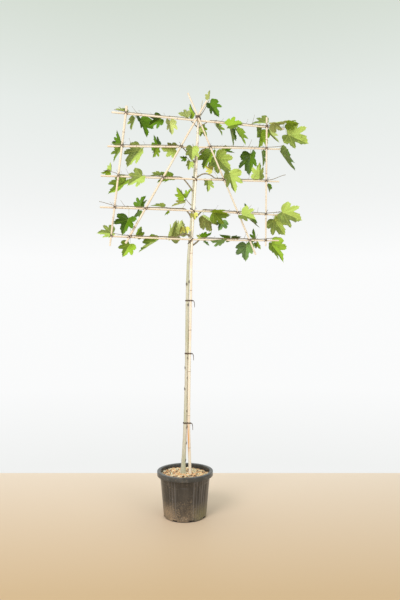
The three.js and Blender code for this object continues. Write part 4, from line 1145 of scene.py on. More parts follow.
def bark_finish(name, base, old):
    """Young plane bark: olive and buff patches drawn out upwards, pale pores, and dark scars where marked."""
    made = Finish(name, 0.78)
    patch = made.noise(22, 5, (1, 1, 0.18), warp=0.6)
    streak = made.noise(160, 4, (1, 1, 0.12))
    pores = made.noise(480, 1, (1, 1, 0.6))
    body = made.tint(shade(base, 0.78, 0.83, 0.7), base, patch, 0.38, 0.6)
    body = made.tint(body, old, streak, 0.3, 0.72, 0.35)
    body = made.tint(body, shade(base, 1.3), pores, 0.64, 0.7, 0.5)
    body = made.tint(body, (0.12, 0.1, 0.08), made.mark(), 0.2, 0.7, 0.85)
    relief = made.sum("ADD", streak, made.times(made.between(pores, 0.62, 0.7), 0.5))
    return made.done(body, made.between(patch, 0.3, 0.7, 0.68, 0.86), relief, 0.0012, 0.7)


# The rusty stain on the post's left side, in metres: the height of its middle, its reach up and down,
# and how far above and below its middle the post's lean is taken.
STAIN = Named(height=0.52, reach=0.16, span=0.1)


def cane_finish(name, base, stained=False):
    """Bamboo: pale skin with streaks, pinkish stretches, a brown line at each knot, and a one-sided stain."""
    made = Finish(name, 0.42)
    grain = made.noise(1, 5, (26, 5, 1), warp=0.2, own=True)
    wash = made.noise(7, 3)
    specks = made.noise(1, 2, (40, 160, 1), own=True)
    body = made.tint(shade(base, 0.8), shade(base, 1.12), grain, 0.3, 0.72)
    body = made.tint(body, shade(base, 0.92, 0.84, 0.8), wash, 0.42, 0.66, 0.7)
    body = made.tint(body, shade(base, 0.4), specks, 0.7, 0.76, 0.5)
    if stained:
        low, high = (post_x((STAIN.height + d) / MM) * MM for d in (-STAIN.span, STAIN.span))
        slope = (high - low) / (2 * STAIN.span)
        aside, _, height = made.apart(made.spot())
        away = made.sum("ABSOLUTE", made.sum("SUBTRACT", height, STAIN.height))
        axis = made.sum("MULTIPLY_ADD", height, slope, low - slope * (STAIN.height - STAIN.span))
        left = made.between(made.sum("SUBTRACT", aside, axis), -0.006, 0.004, 1.0, 0.15)
        share = made.times(made.between(away, 0, STAIN.reach, 1.0, 0.0), left)
        body = made.blend(share, body, (0.72, 0.34, 0.1))
    body = made.tint(body, (0.2, 0.12, 0.06), made.mark(), 0.3, 0.95, 0.8)
    return made.done(body, made.between(wash, 0.3, 0.7, 0.36, 0.56), grain, 0.0006, 0.5)


def shoot_finish(name, base):
    """A shoot or a stalk: green turning brown in stretches, with small pale pores."""
    made = Finish(name, 0.6)
    patch = made.noise(30, 3)
    body = made.tint(shade(base, 0.7), shade(base, 1.2), patch, 0.35, 0.65)
    body = made.tint(body, shade(base, 1.8), made.noise(700, 1), 0.62, 0.7, 0.5)
    body = made.tint(body, (0.07, 0.045, 0.025), made.mark(), 0.3, 0.8, 0.8)
    return made.done(body, None, patch, 0.0008, 0.5)


def tie_finish(name, base):
    """Dull dark rubber and wire: fine ribs and worn, paler patches."""
    made = Finish(name, 0.55)
    paler_marks = made.noise(160, 3)
    body = made.tint(shade(base, 0.6), shade(base, 1.7), paler_marks, 0.4, 0.7)
    return made.done(body, made.between(paler_marks, 0.3, 0.7, 0.45, 0.7), made.noise(900, 2), 0.0004, 0.5)


# Fluted panels of the pot's wall, the flutes' pitch and the panels' soft edge, in degrees from the front.
PANELS = ((-43, -19), (20, 57), (137, 161), (-160, -123))
PITCH = 7.5
PANEL_EDGE = 2


def pot_finish(name, base, rim, dust):
    """Recycled black plastic: flute ridges painted paler as a highlight, dust at the foot's left, moss at its
    right, a painted reflection on the lip and inside, a painted contact shadow along the foot, and drains
    painted dark as their shade.
    """
    made = Finish(name, 0.45)
    aside, ahead, height = made.apart(made.spot())
    # Painted shade: the back of each drain notch, inside the foot, is painted near black for the shade under
    # the pot.
    foot = (POT.foot_radius - 3) * MM, (POT.foot_radius - 1.6) * MM
    shade_inside_foot = made.between(made.length(aside, ahead), *foot, 1.0, 0.0)
    drain = made.times(shade_inside_foot, made.between(height, 0.014, 0.018, 1.0, 0.0))
    low = made.times(made.between(height, 0.01, 0.15, 1.0, 0.0), made.between(aside, -0.1, 0.02, 1.0, 0.45))
    cloud = made.noise(12, 4, warp=0.4)
    specks = made.noise(210, 3, rough=0.7)
    streak = made.noise(42, 4, (1, 1, 0.1))
    level = made.sum("MULTIPLY_ADD", low, 0.22, made.sum("MULTIPLY_ADD", cloud, 0.3, -0.15))
    dusty = made.between(made.sum("ADD", specks, level), 0.6, 0.7, 0.0, 0.85)
    film = made.times(low, made.between(cloud, 0.3, 0.7, 0.15, 0.6))
    body = made.tint(shade(base, 0.7), shade(base, 1.7), streak, 0.35, 0.65)
    turn = made.times(made.sum("ARCTAN2", aside, made.times(ahead, -1)), 180 / math.pi)
    panels = [
        made.times(
            made.between(turn, start, start + PANEL_EDGE),
            made.between(turn, end - PANEL_EDGE, end, 1.0, 0.0),
        )
        for start, end in PANELS
    ]
    # Painted highlight: within the panels the ridges of the flutes are painted paler, as where the light
    # catches them.
    ridge = made.between(made.sum("PINGPONG", turn, PITCH / 2), 0.3, 1.6, 0.55, 0.0)
    paler_marks = made.times(made.furthest("MAXIMUM", panels), ridge)
    paler_marks = made.times(paler_marks, made.between(streak, 0.3, 0.6, 0.4, 1.0))
    body = made.blend(paler_marks, body, (0.16, 0.15, 0.15))
    # Painted reflection: from 262 mm up, the lip and the inside take the rim colour, the plastic's sheen,
    # cloudy lighter and darker.
    sheen = made.tint(shade(rim, 0.75), shade(rim, 1.3), cloud, 0.4, 0.6)
    body = made.tint(body, sheen, height, 0.262, 0.28)
    body = made.blend(made.sum("MAXIMUM", dusty, film), body, dust)
    moss = made.times(made.between(aside, 0.03, 0.12), made.between(height, 0.03, 0.13, 0.7, 0.0))
    body = made.blend(made.times(moss, made.between(specks, 0.35, 0.6)), body, (0.13, 0.14, 0.05))
    scuff = made.noise(140, 3, (0.12, 0.12, 1))
    body = made.tint(body, (0.25, 0.25, 0.25), scuff, 0.66, 0.74, 0.3)
    # Painted contact shadow: the lowest few millimetres of the wall are darkened where the foot meets the
    # floor.
    body = made.blend(made.between(height, 0.001, 0.007, 0.8, 0.0), body, (0.014, 0.011, 0.009))
    # Painted shade: the drains' backs are near black, and rough below.
    body = made.blend(drain, body, (0.002, 0.0015, 0.001))
    rough = made.sum("MAXIMUM", made.between(dusty, 0.0, 0.5, 0.3, 0.85), drain)
    return made.done(body, rough, made.noise(900, 2), 0.0004, 0.4)


def chip_finish(name, base):
    """A chip of bark: fibres along it and darker, weathered faces."""
    made = Finish(name, 0.9)
    fibre = made.noise(260, 4, (1, 0.35, 1))
    body = made.tint(shade(base, 0.7), shade(base, 1.3), fibre, 0.3, 0.7)
    body = made.tint(body, shade(base, 0.5), made.noise(60, 2), 0.5, 0.75, 0.5)
    return made.done(body, None, fibre, 0.0012, 0.8)


def soil_finish(name, base):
    """Moist potting soil: dark crumbs among paler ones."""
    made = Finish(name, 0.95)
    crumbs = made.noise(240, 5)
    body = made.tint(shade(base, 0.4), shade(base, 1.5), crumbs, 0.35, 0.65)
    return made.done(body, None, crumbs, 0.003, 1.0)


# Pot and soil

def rounded(profile, reach, steps=4):
    """A profile whose corners each become a quadratic arc that starts and ends at most reach off."""
    rows = [profile[0]]
    for before, corner, after in zip(profile, profile[1:], profile[2:]):
        a, b, c = (np.array(p, float) for p in (before, corner, after))
        long, on = np.linalg.norm(a - b), np.linalg.norm(c - b)
        start = b + (a - b) / long * min(reach, long * 0.45)
        end = b + (c - b) / on * min(reach, on * 0.45)
        for t in np.linspace(0, 1, steps):
            rows.append(tuple((1 - t) ** 2 * start + 2 * t * (1 - t) * b + t * t * end))
    rows.append(profile[-1])
    return np.array(rows)


def wall_radius(z):
    """Radius of the pot's wall outside, a straight cone."""
    return mix(POT.foot_radius, POT.wall_top_radius, z / (POT.height - 6))


def flute_panels(turn):
    """1 inside the fluted panels and 0 between them; turn is from the front, in degrees."""
    share = np.zeros_like(turn)
    for low, high in PANELS:
        share = np.maximum(share, ease((turn - low) / PANEL_EDGE) * ease((high - turn) / PANEL_EDGE))
    return share


def pot_grid():
    """The pot as rings of points from the foot's hollow up the wall, over the rim and down to the floor.

    A rounded profile is turned about Z. The wall goes in by a flute's depth times
    (1 - cos(turn / PITCH)) / 2 inside a panel, and the foot's edge is lifted over each drain.
    """
    top, high, out = POT.height, POT.flute_high, POT.panel_out
    skirt = POT.rim_radius - POT.lip_wall
    edge = POT.foot_radius - POT.drain_reach
    foot = [(edge - 3, 0), (edge, 0), (edge + 0.4, 0.02), (POT.foot_radius - 2.4, 0.02)]
    foot.append((wall_radius(2), 2.2))
    wall = [(wall_radius(z), z) for z in np.arange(6, high - 1, POT.ring_step)]
    above = [(wall_radius(high), high), (wall_radius(high) + out, high + 1)]
    rim = (
        (wall_radius(250) + out, 250), (wall_radius(top - 8) + out, top - 8), (skirt, top - 8),
        (skirt, top - POT.lip_height), (POT.rim_radius, top - POT.lip_height),
        (POT.rim_radius, top - 1), (POT.mouth_radius + 1, top - 1),
        (POT.mouth_radius, top - 14), (wall_radius(top - 18) - POT.wall, top - 18),
        (wall_radius(POT.floor) - POT.wall, POT.floor), (20, POT.floor),
    )  # fmt: skip
    rows = np.vstack([foot, wall, above, rounded(rim, POT.corner)])
    r, z = (np.repeat(rows[:, i : i + 1], POT.sides, 1) for i in (0, 1))
    turn = np.degrees(turns_round(POT.sides))
    from_front = (turn + 180) % 360 - 180
    wave = (1 - np.cos(2 * math.pi * from_front / PITCH)) / 2 * flute_panels(from_front)
    fluted = slice(len(foot), len(foot) + len(wall))
    ends = ease((z[fluted] - POT.flute_low) / 6) * ease((high - 4 - z[fluted]) / 6)
    slot = ease((POT.slot_turn - np.abs(from_front + 1)) / 1.5)
    slot = slot * ease((POT.slot_reach - np.abs(z[fluted] - POT.slot_height)) / 3)
    r[fluted] -= sizes().flute_depth / MM * wave * ends
    r[fluted] -= POT.slot_depth * slot
    drain = 360 / POT.drains
    off = np.abs((turn - POT.drain_turn * drain + drain / 2) % drain - drain / 2)
    half = np.degrees(POT.drain_width / 2 / POT.foot_radius)
    lift = POT.drain_height * ease((half - off) / 1.6 + 0.5)
    for row, share in enumerate((1, 1, 1.12, 1.25, 1.35), 2):
        z[row] = np.maximum(z[row], lift * share)
    angle = np.radians(turn) - math.pi / 2
    return np.stack([r * np.cos(angle), r * np.sin(angle), z], -1)


def soil_top(x, y):
    """Height of the soil: flat in the middle, lower at the edge, heaped at the back left, and uneven."""
    fall = SOIL.edge_fall * ease((np.hypot(x, y) - SOIL.flat_radius) / (SOIL.edge_radius - SOIL.flat_radius))
    heap = HEAP.height * np.exp(-((x - HEAP.x) ** 2 + (y - HEAP.y) ** 2) / HEAP.reach**2)
    return SOIL.surface - fall + heap + 2.2 * ripple(vec(x, y, 0 * x), 46, SEEDS.soil) - 2


def turned(angle, i, j):
    """Turns by each of the angles from axis i to axis j, as matrices (3, 3, angles)."""
    made = np.zeros((3, 3, len(angle)))
    made[range(3), range(3)] = 1
    made[i, i] = made[j, j] = np.cos(angle)
    made[j, i] = np.sin(angle)
    made[i, j] = -made[j, i]
    return made


def chip_boxes(count, length):
    """Corners of the bark chips, as boxes with uneven corners, and a share for the tint of each.

    A chip's corner is centre + turn(yaw, tilt, roll) * (half sizes * corner signs * seeded unevenness);
    the centres fill the pot's mouth evenly, and a third of them lie on top of the others.
    """
    d = draws(SEEDS.chips, count * 12).reshape(count, 12)
    reach = POT.mouth_radius - 6
    r, around = reach * np.sqrt(d[:, 0]), 2 * math.pi * d[:, 1]
    x, y = r * np.cos(around), r * np.sin(around)
    foot, post = trunk_at(SOIL.surface + 1), post_at(SOIL.surface + 1)
    for spot, room in ((foot, CHIP.stem_room), (post, CHIP.post_room)):
        dx, dy = x - spot[0], y - spot[1]
        gap = np.maximum(np.hypot(dx, dy), 1e-3)
        push = np.where(gap < room, room / gap, 1)
        x, y = spot[0] + dx * push, spot[1] + dy * push
    half = np.stack([0.5 + 0.9 * d[:, 2] ** 2, 0.24 + 0.3 * d[:, 3], 0.08 + 0.12 * d[:, 4]], 1)
    half = half * length / 2 * CHIP.stretch
    top = soil_top(x, y) + half[:, 2] + 4.5 * d[:, 5] ** 3
    yaw, tilt, roll = 2 * math.pi * d[:, 6], 0.7 * (d[:, 7] - 0.5), 0.9 * (d[:, 8] - 0.5)
    turn = np.einsum("ijn,jkn,kln->nil", turned(yaw, 0, 1), turned(tilt, 2, 0), turned(roll, 1, 2))
    signs = np.array([[a, b, c] for c in (-1, 1) for b in (-1, 1) for a in (-1, 1)], float)
    uneven = 0.62 + 0.5 * draws(SEEDS.chips + 1, count * 24).reshape(count, 8, 3)
    corners = np.einsum("nil,nkl->nki", turn, signs * uneven * half[:, None])
    return corners + vec(x, y, top)[:, None], d[:, 9]


BOX_FACES = np.array([[0, 2, 3, 1], [4, 5, 7, 6], [0, 1, 5, 4], [1, 3, 7, 5], [3, 2, 6, 7], [2, 0, 4, 6]])


class PLANE_TREE_OT_pot(bpy.types.Operator):
    """Make the nursery pot: fluted wall, rolled lip and drain notches"""

    bl_idname = "plane_tree.make_pot"
    bl_label = "Make the pot"

    def execute(self, context):
        grid = pot_grid()
        shell = Shell()
        lay(shell, grid, run_of(grid[:, 0]), start=vec(0, 0, 0), end=vec(0, 0, POT.floor))
        paint = colours()
        plastic = pot_finish("pot_plastic", paint.pot, paint.rim, paint.dust)
        pot = shell.piece("pot_moulded", [plastic], crease=55)
        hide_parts("pot")
        return {"FINISHED"}


class PLANE_TREE_OT_soil(bpy.types.Operator):
    """Make the soil and the chips of bark on it"""

    bl_idname = "plane_tree.make_soil"
    bl_label = "Make the soil and bark chips"

    def execute(self, context):
        paint, size = colours(), sizes()
        low = POT.floor + TOUCH
        low_edge, edge = (wall_radius(z) - POT.wall - 2 * TOUCH for z in (low, SOIL.surface))
        turn = turns_round(SOIL.sides) - math.pi / 2
        r = np.concatenate([[low_edge, edge], np.linspace(edge, 4, SOIL.rings)])
        x, y = r[:, None] * np.cos(turn), r[:, None] * np.sin(turn)
        grid = vec(x, y, soil_top(x, y))
        grid[:2, :, 2] = np.array([[low], [SOIL.side_top]])
        shell = Shell()
        lay(shell, grid, np.arange(len(grid)) * 0.004)
        soil = shell.piece("soil_bed", [soil_finish("soil_crumbs", paint.soil)])
        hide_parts("soil")

        corners, shares = chip_boxes(size.chips, size.chip_length / MM)
        shell = Shell()
        faces = (BOX_FACES[None] + 8 * np.arange(len(corners))[:, None, None]).reshape(-1, 4)
        looks = np.repeat(np.digitize(shares, CHIP.tints), len(BOX_FACES))
        shell.join(shell.put(corners.reshape(-1, 3)), faces, (0.0, 0.0), looks)
        tints = (
            ("chip_tan", tuple(paint.chip)),
            ("chip_pale", (1, paint.chip[1] * 1.45, paint.chip[2] * 1.95)),
            ("chip_brown", shade(paint.chip, 0.5)),
            ("chip_dark", shade(paint.soil, 0.7)),
        )
        chips = shell.piece("bark_chips", [chip_finish(name, base) for name, base in tints], crease=10)
        return {"FINISHED"}


# Canes

def knot_swell(offset):
    """A bamboo knot along the cane: a groove under a narrow ridge, on a slight swelling."""
    return 0.55 * bell(offset / 1.6) - 0.35 * bell((offset + 3.4) / 1.3) + 0.25 * bell(offset / 8)


def lay_cane(shell, line, ends, knots, sides, seed):
    """A cane as a tube: its taper, a swell at each knot, a slight oval and an uneven skin."""
    even = np.linspace(*ends, int((ends[1] - ends[0]) / CANE_STEP) + 1)
    stations = np.unique(np.clip(np.concatenate([even] + [k + KNOT_RINGS for k in knots]), *ends))
    stations = stations[np.concatenate([[True], np.diff(stations) > 0.3])]
    points, radii = line(stations)
    swell, mark = np.zeros(len(stations)), np.zeros(len(stations))
    for knot in knots:
        swell += knot_swell(stations - knot)
        mark = np.maximum(mark, bell((stations - knot + 1.8) / 2.6))
    oval = 0.1 * np.cos(2 * turns_round(sides) + seed)
    skin = 0.12 * ripple(points, 90, seed)
    lay_tube(shell, points, radii - 0.15 + swell, sides, mark=mark, relief=oval + skin[:, None])


def sunk_post(z):
    """The post's line and radius, kept as they are at the soil's surface for the part below it."""
    held = np.maximum(z, SOIL.surface)
    point = post_at(held)
    point[:, 2] = z
    return point, post_radius(held)


class PLANE_TREE_OT_canes(bpy.types.Operator):
    """Make the bamboo canes of the frame, with their knots"""

    bl_idname = "plane_tree.make_canes"
    bl_label = "Make the canes"

    def execute(self, context):
        paint = colours()
        skin = cane_finish("cane_skin", paint.cane)
        for i, cane in enumerate(canes()):
            taken = cane.crossings + [k + KNOTS.more_beyond for k in cane.knots]
            extra = cane_knots(*cane.ends, taken, SEEDS.more_knots + i)
            more = [k for k in extra if all(abs(k - c) > KNOTS.more_spacing for c in cane.knots)]
            shell = Shell()
            lay_cane(shell, cane.line, cane.ends, cane.knots + more, RAIL.sides, i + 3)
            piece = shell.piece(f"{cane.name}_cane", [skin])
            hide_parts(cane.name)
        shell = Shell()
        knots = list(np.arange(*POST.knots) + POST.knot_shift * (draws(SEEDS.post_knots, 9) - 0.5))
        lay_cane(shell, sunk_post, (SOIL.surface - POST.sunk, POST.top_z), knots, POST.sides, SEEDS.post_skin)
        piece = shell.piece("post_cane", [cane_finish("post_skin", paint.post, stained=True)])
        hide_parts("post")
        return {"FINISHED"}


# Trunk and boughs

def scar_field(z, turn):
    """How much a place on the trunk belongs to a leaf scar, and how far it stands out there."""
    dark, out = np.zeros(z.shape), np.zeros(z.shape)
    radius = trunk_radius(z)
    for height, from_front in SCARS:
        away = (turn - math.radians(from_front) + math.pi) % (2 * math.pi) - math.pi
        aside, up = away * radius, z - height
        wide = (aside / 8) ** 2
        dark = np.maximum(dark, np.exp(-wide - (up / 12) ** 2))
        out += 3.4 * np.exp(-wide - ((up - 3) / 10) ** 2)
        out += 0.7 * bell(up / 12)
    return dark, out


def lay_trunk(shell):
    """The trunk as a tube: taper and flare, root ribs at the foot, scars, and shallow unevenness."""
    runs = ((SOIL.surface - 10, 330, 3), (330, 1700, 2.6), (1700, TRUNK.top_z, 4))
    z = np.append(np.concatenate([np.arange(*run) for run in runs]), TRUNK.top_z)
    held = np.maximum(z, SOIL.surface)
    points, radii = trunk_at(held), trunk_radius(held)
    points[:, 2] = z
    zz, tt = np.meshgrid(z, turns_round(TRUNK.sides), indexing="ij")
    dark, out = scar_field(zz, tt)
    ribs = 1.6 * np.cos(4 * tt + 0.8) * np.exp(-(zz - SOIL.surface) / 34)
    ring = np.stack([np.sin(tt) * 12, -np.cos(tt) * 12, zz * 0.22], -1)
    rough = 0.34 * ripple(ring, 9, SEEDS.trunk_skin)
    rough = rough + 0.5 * ripple(vec(0 * zz, 0 * zz, zz), 150, SEEDS.trunk_bends)
    size = np.minimum(1, radii / 9)[:, None]
    grid = tube(points, radii, TRUNK.sides, (out + rough) * size + ribs)
    lay(shell, grid, run_of(points), mark=np.minimum(dark, 1), end=points[-1] + vec(0.6, 0, 2))


def lay_bough(shell, one):
    """A bough as a tube that swells into a collar where it leaves the trunk, with a scar or two on it."""
    points = bough_line(one, BOUGH.rings)
    radii = bough_radii(one, points)
    run = run_of(points) / MM
    leave = trunk_radius(points[0, 2]) * 1.1
    collar = 3.2 * np.exp(-np.maximum(0, run - leave) / 7) * (run > leave * 0.4)
    d = draws(one.seed * 7, 4)
    mark, bump = np.zeros(len(points)), np.zeros(len(points))
    for place in (0.35 + 0.15 * d[0], 0.72 + 0.15 * d[1]):
        near = bell((run - run[-1] * place) / 2.6)
        mark, bump = np.maximum(mark, near * 0.8), bump + 0.9 * near
    rough = 0.25 * ripple(points, 14, one.seed)
    lay_tube(shell, points, radii + collar + bump + rough, BOUGH.sides, mark=mark)


class PLANE_TREE_OT_trunk(bpy.types.Operator):
    """Make the trunk and the boughs with the relief of their bark"""

    bl_idname = "plane_tree.make_trunk"
    bl_label = "Make the trunk and boughs"

    def execute(self, context):
        paint = colours()
        bark = bark_finish("trunk_bark", paint.bark, shade(paint.bark, 0.5))
        shell = Shell()
        lay_trunk(shell)
        trunk = shell.piece("trunk_bark", [bark])
        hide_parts("trunk")
        shell = Shell()
        for one in SHOOTS:
            lay_bough(shell, one)
        bark = bark_finish("bough_bark", mixed(paint.bark, paint.shoot, 0.82), paint.shoot)
        boughs = shell.piece("boughs_bark", [bark])
        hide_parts(*(f"bough_{one.name}" for one in SHOOTS))
        return {"FINISHED"}


# Shoots, stalks and buds

def lay_bud(shell, root, way, length, radius):
    """A bud: a spindle along way whose radius is radius * sin(pi t^0.6) at the share t of its length."""
    t = np.array([0.03, 0.2, 0.42, 0.64, 0.84, 0.97])
    points = root + way * (t * length)[:, None]
    lay_tube(shell, points, radius * np.sin(math.pi * t**0.6) + 0.12, 6, mark=0.35)


def lay_shoot(shell, one):
    """A shoot as a tube from its bough's tip: it kinks a little and swells at each leaf."""
    distance = np.linspace(one.start, one.reach, int((one.reach - one.start) / 4))
    points, radii = shoot_at(one, distance)
    nodes = [leaf[0] for leaf in one.behind + one.front]
    swell = np.max([bell((distance - node) / 4.5) for node in nodes], axis=0)
    ends = ease((distance - one.start) / 30)
    points[:, 1] += 1.3 * np.sin(distance / 24 + one.seed) * ends
    points[:, 2] += (0.9 + 0.9 * np.sin(distance / 31 + one.seed * 2)) * ends
    uneven = 1 + 0.05 * np.sin(distance / 9)
    lay_tube(shell, points, radii * uneven + 0.9 * swell, SHOOT.sides, mark=swell * 0.55, round_tip=True)
    lay_bud(shell, points[-1], unit(points[-1] - points[-4]), 9, 2.1)
    d = draws(one.seed * 13, 2 * len(nodes))
    for i, node in enumerate(nodes):
        spot = np.abs(distance - node).argmin()
        way = unit(vec(one.side * 0.8, d[2 * i] - 0.5, 0.7 + 0.3 * d[2 * i + 1]))
        lay_bud(shell, points[spot] + way * radii[spot] * 0.6, way, 6.5 + 3 * d[2 * i], 1.6)


def lay_stalk(shell, leaf, radius):
    """A leaf's stalk: thick at the foot, slender at its middle, and run a little way into the midrib."""
    points = bezier(*leaf.hooks, np.linspace(0, 1, 13))
    ridge = leaf.way - leaf.normal * leaf.droop
    points = np.vstack([points, leaf.junction + ridge * (leaf.length * np.array([[-0.03], [0.03], [0.14]]))])
    t = np.linspace(0, 1, len(points))
    scale = mix(0.75, 1.1, clamp(leaf.length / 140))
    radii = radius * scale * (1 + 1.3 * np.exp(-t / 0.07) - 0.55 * ease((t - 0.8) / 0.2))
    lay_tube(shell, points, radii, 7)


class PLANE_TREE_OT_shoots(bpy.types.Operator):
    """Make the shoots, spurs and twigs with their buds, and the stalks of the leaves"""

    bl_idname = "plane_tree.make_shoots"
    bl_label = "Make the shoots and stalks"

    def execute(self, context):
        paint, size = colours(), sizes()
        growth = grown()
        shell = Shell()
        for one in SHOOTS:
            lay_shoot(shell, one)
        for one in SPURS:
            base, at = spur_line(one)
            s = np.linspace(0, one.length, 18)
            points = np.vstack([base, mix(base, at(0), 0.5), at(s)])
            radii = mix(one.radius, 1.6, np.linspace(0, 1, len(points)))
            collar = 1.6 * np.exp(-np.concatenate([[0, 0], s]) / 6)
            lay_tube(shell, points, radii + collar, 10, round_tip=True)
            lay_bud(shell, points[-1], unit(points[-1] - points[-3]), 8, 1.9)
        for line, radius in growth.twigs:
            points = curve_through(line, 8)
            lay_tube(shell, points, radius * np.linspace(1, 0.5, 9), 7, round_tip=True)
            lay_bud(shell, points[-1], unit(points[-1] - points[-2]), 6, 1.3)
        shoots = shell.piece("shoots", [shoot_finish("shoot_bark", paint.shoot)])
        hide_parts(*(f"leaves_{one.name}" for one in SHOOTS + SPURS))
        shell = Shell()
        for leaf in growth.leaves:
            lay_stalk(shell, leaf, size.petiole_radius / MM)
        stalks = shell.piece("leaf_stalks", [shoot_finish("stalk_skin", paint.stalk)])
        return {"FINISHED"}


# Leaves

def edge_rays(seed, web):
    """Turn and reach of every ray round a leaf, with the outline drawn in or out a little by seeded waves."""
    across, up = np.array(EDGE).T
    turn, reach = np.arctan2(across, up), np.hypot(across, up)
    d = draws(seed * 3 + 1, 4) * 2 * math.pi
    turns = np.concatenate([turn, -turn[-2:0:-1]])
    reaches = np.concatenate([reach, reach[-2:0:-1]])
    wave = 0.035 * np.sin(2 * turns + d[0]) + 0.03 * np.sin(5 * turns + d[1]) - 0.005
    plain = np.array(OUTLINE)
    webbed = np.interp(np.degrees(np.abs(turns)), plain[:, 0], plain[:, 2])
    return turns, (reaches + 0.8 * web * webbed) * (1 + wave * ease(np.abs(turns) / 0.3))


def leaf_surface(leaf):
    """A blade as layers of rings from its junction out to the rim.

    At w across and l along, in leaf lengths, with r the distance from the junction:
    n = -fold (sqrt(w^2 + e^2) - e) - droop r - quilt + curl, where quilt lifts the blade between
    the main veins and curl bends the rim in seeded waves. Both layers share the rim.
    """
    turns, reaches = edge_rays(leaf.seed, leaf.web)
    shares = LEAF_RINGS[:, None]
    w = shares * reaches * np.sin(turns)
    l = shares * reaches * np.cos(turns)
    r = np.hypot(w, l)
    off = np.min([np.abs(np.abs(turns) - math.radians(v)) for v in VEIN_TURNS], axis=0)
    aside = r * np.sin(np.minimum(off, math.pi / 2))
    quilt = 0.016 * (1 - bell(aside / 0.05)) + 0.006 * np.sin(22 * r + 3 * aside)
    d = draws(leaf.seed * 5 + 2, 6)
    curl = 0.05 * shares**3 * np.sin(3 * turns + 6.3 * d[0]) * (0.4 + d[1])
    curl = curl + 0.02 * shares**4 * np.sin(11 * turns + 6.3 * d[2])
    tip = 0.16 * (d[3] - 0.35) * ease((l - 0.45) / 0.55) * clamp(l)
    e = 0.03
    n = -leaf.fold * (np.sqrt(w * w + e * e) - e) - leaf.droop * r - quilt + curl + tip
    offset = w[..., None] * leaf.side + l[..., None] * leaf.way + n[..., None] * leaf.normal
    return leaf.junction + leaf.length * offset, w, l


def lay_leaf(shell, leaf, thickness):
    """A blade of two layers that thin towards the rim they share, each closed by a fan at the junction."""
    surface, w, l = leaf_surface(leaf)
    layers, rays = w.shape
    thick = 0.5 * thickness * (1 - 0.8 * LEAF_RINGS[:-1] ** 2)[:, None, None] * leaf.normal
    heel = leaf.normal * thickness * 0.5
    sheets = (surface[:-1] - thick, surface[-1:], surface[:-1] + thick)
    hearts = np.stack([leaf.junction - heel, leaf.junction + heel])
    first = shell.put(np.concatenate([sheet.reshape(-1, 3) for sheet in sheets] + [hearts]))
    spots = np.stack([w, l], -1).reshape(-1, 2)
    spots = np.concatenate([spots, spots[:-rays], [[0, 0], [0, 0]]]) + LEAF_MIDDLE
    faces, _ = ring_faces(layers, rays)
    rim = (layers - 1) * rays
    under = np.concatenate([layers * rays + np.arange(rim), rim + np.arange(rays)])
    heart = len(spots) - 2
    for corners, look in (
        (faces[:, [0, 3, 2, 1]], 0),
        (under[faces], 1),
        (fan(heart, np.arange(rays)), 0),
        (fan(heart + 1, under[:rays])[:, [0, 2, 1]], 1),
    ):
        shell.join(first, corners, spots[corners], look)


class PLANE_TREE_OT_leaves(bpy.types.Operator):
    """Make the leaves, toothed, veined and folded, in one piece for each tone"""

    bl_idname = "plane_tree.make_leaves"
    bl_label = "Make the leaves"

    def execute(self, context):
        paint, size = colours(), sizes()
        # The dark, light, pale and blue tones are painted shade, light and sheen in the leaf's colour, and
        # they name their materials and pieces.
        tones = {
            "d": ("dark", paint.leaf_dark, 0.36),
            "m": ("mid", paint.leaf_mid, 0.42),
            "l": ("light", paint.leaf_light, 0.5),
            "b": ("blue", paint.leaf_blue, 0.3),
            "y": ("yellow", paint.leaf_yellow, 0.5),
            "p": ("pale", paint.leaf_pale, 0.5),
            "n": ("new", paint.leaf_new, 0.45),
        }
        for letter, (name, base, gloss) in tones.items():
            shell = Shell()
            for leaf in grown().leaves:
                if leaf.tone == letter:
                    lay_leaf(shell, leaf, size.leaf_thickness / MM)
            upper = leaf_finish(f"leaf_{name}", tuple(base), gloss)
            under = leaf_finish(f"leaf_{name}_under", mixed(base, paint.leaf_under, 0.6), 0.62)
            piece = shell.piece(f"leaves_{name}", [upper, under], crease=75)
        return {"FINISHED"}


# Ties

def hull(members, turns, off):
    """Points of the outline round round members, off millimetres out.

    A member is (x, y, radius, stretch of the radius along x). For each direction n the member that
    reaches furthest along n gives centre + n * radius, and off is added along n.
    """
    n = np.stack([np.cos(turns), np.sin(turns)], -1)[:, None]
    x, y, r, s = np.array(members, float).T
    reach = np.hypot(n[..., 0] * r * s, n[..., 1] * r)
    best = (n[..., 0] * x + n[..., 1] * y + reach).argmax(1)[:, None]
    px = np.take_along_axis(x + n[..., 0] * (r * s) ** 2 / reach, best, 1)
    py = np.take_along_axis(y + n[..., 1] * r**2 / reach, best, 1)
    return np.concatenate([px, py], 1) + n[:, 0] * off


def upright_members(z, height, rakes=False):
    """The post, the trunk and, at the apex, the rakes, as round members at both edges of a strap."""
    members = []
    for h in (z - height / 2, z + height / 2):
        post, stem = post_at(h), trunk_at(h)
        members.append((post[0], post[1], post_radius(h), 1))
        members.append((stem[0], stem[1], trunk_radius(h) + TRUNK.knot_swell, 1))
        for rake in RAKES if rakes else ():
            point, radius = front_cane_at(rake, h)
            members.append((point[0], point[1], radius + 0.2, 1.16))
    return members


def lay_ring(shell, grid):
    """A surface closed both ways: rings of a section carried round a closed line."""
    count, sides, _ = grid.shape
    faces, places = ring_faces(count + 1, sides)
    pairs = np.stack([places[..., 0] / sides, places[..., 1] * 0.004], -1)
    shell.join(shell.put(grid.reshape(-1, 3)), faces % (count * sides), pairs)


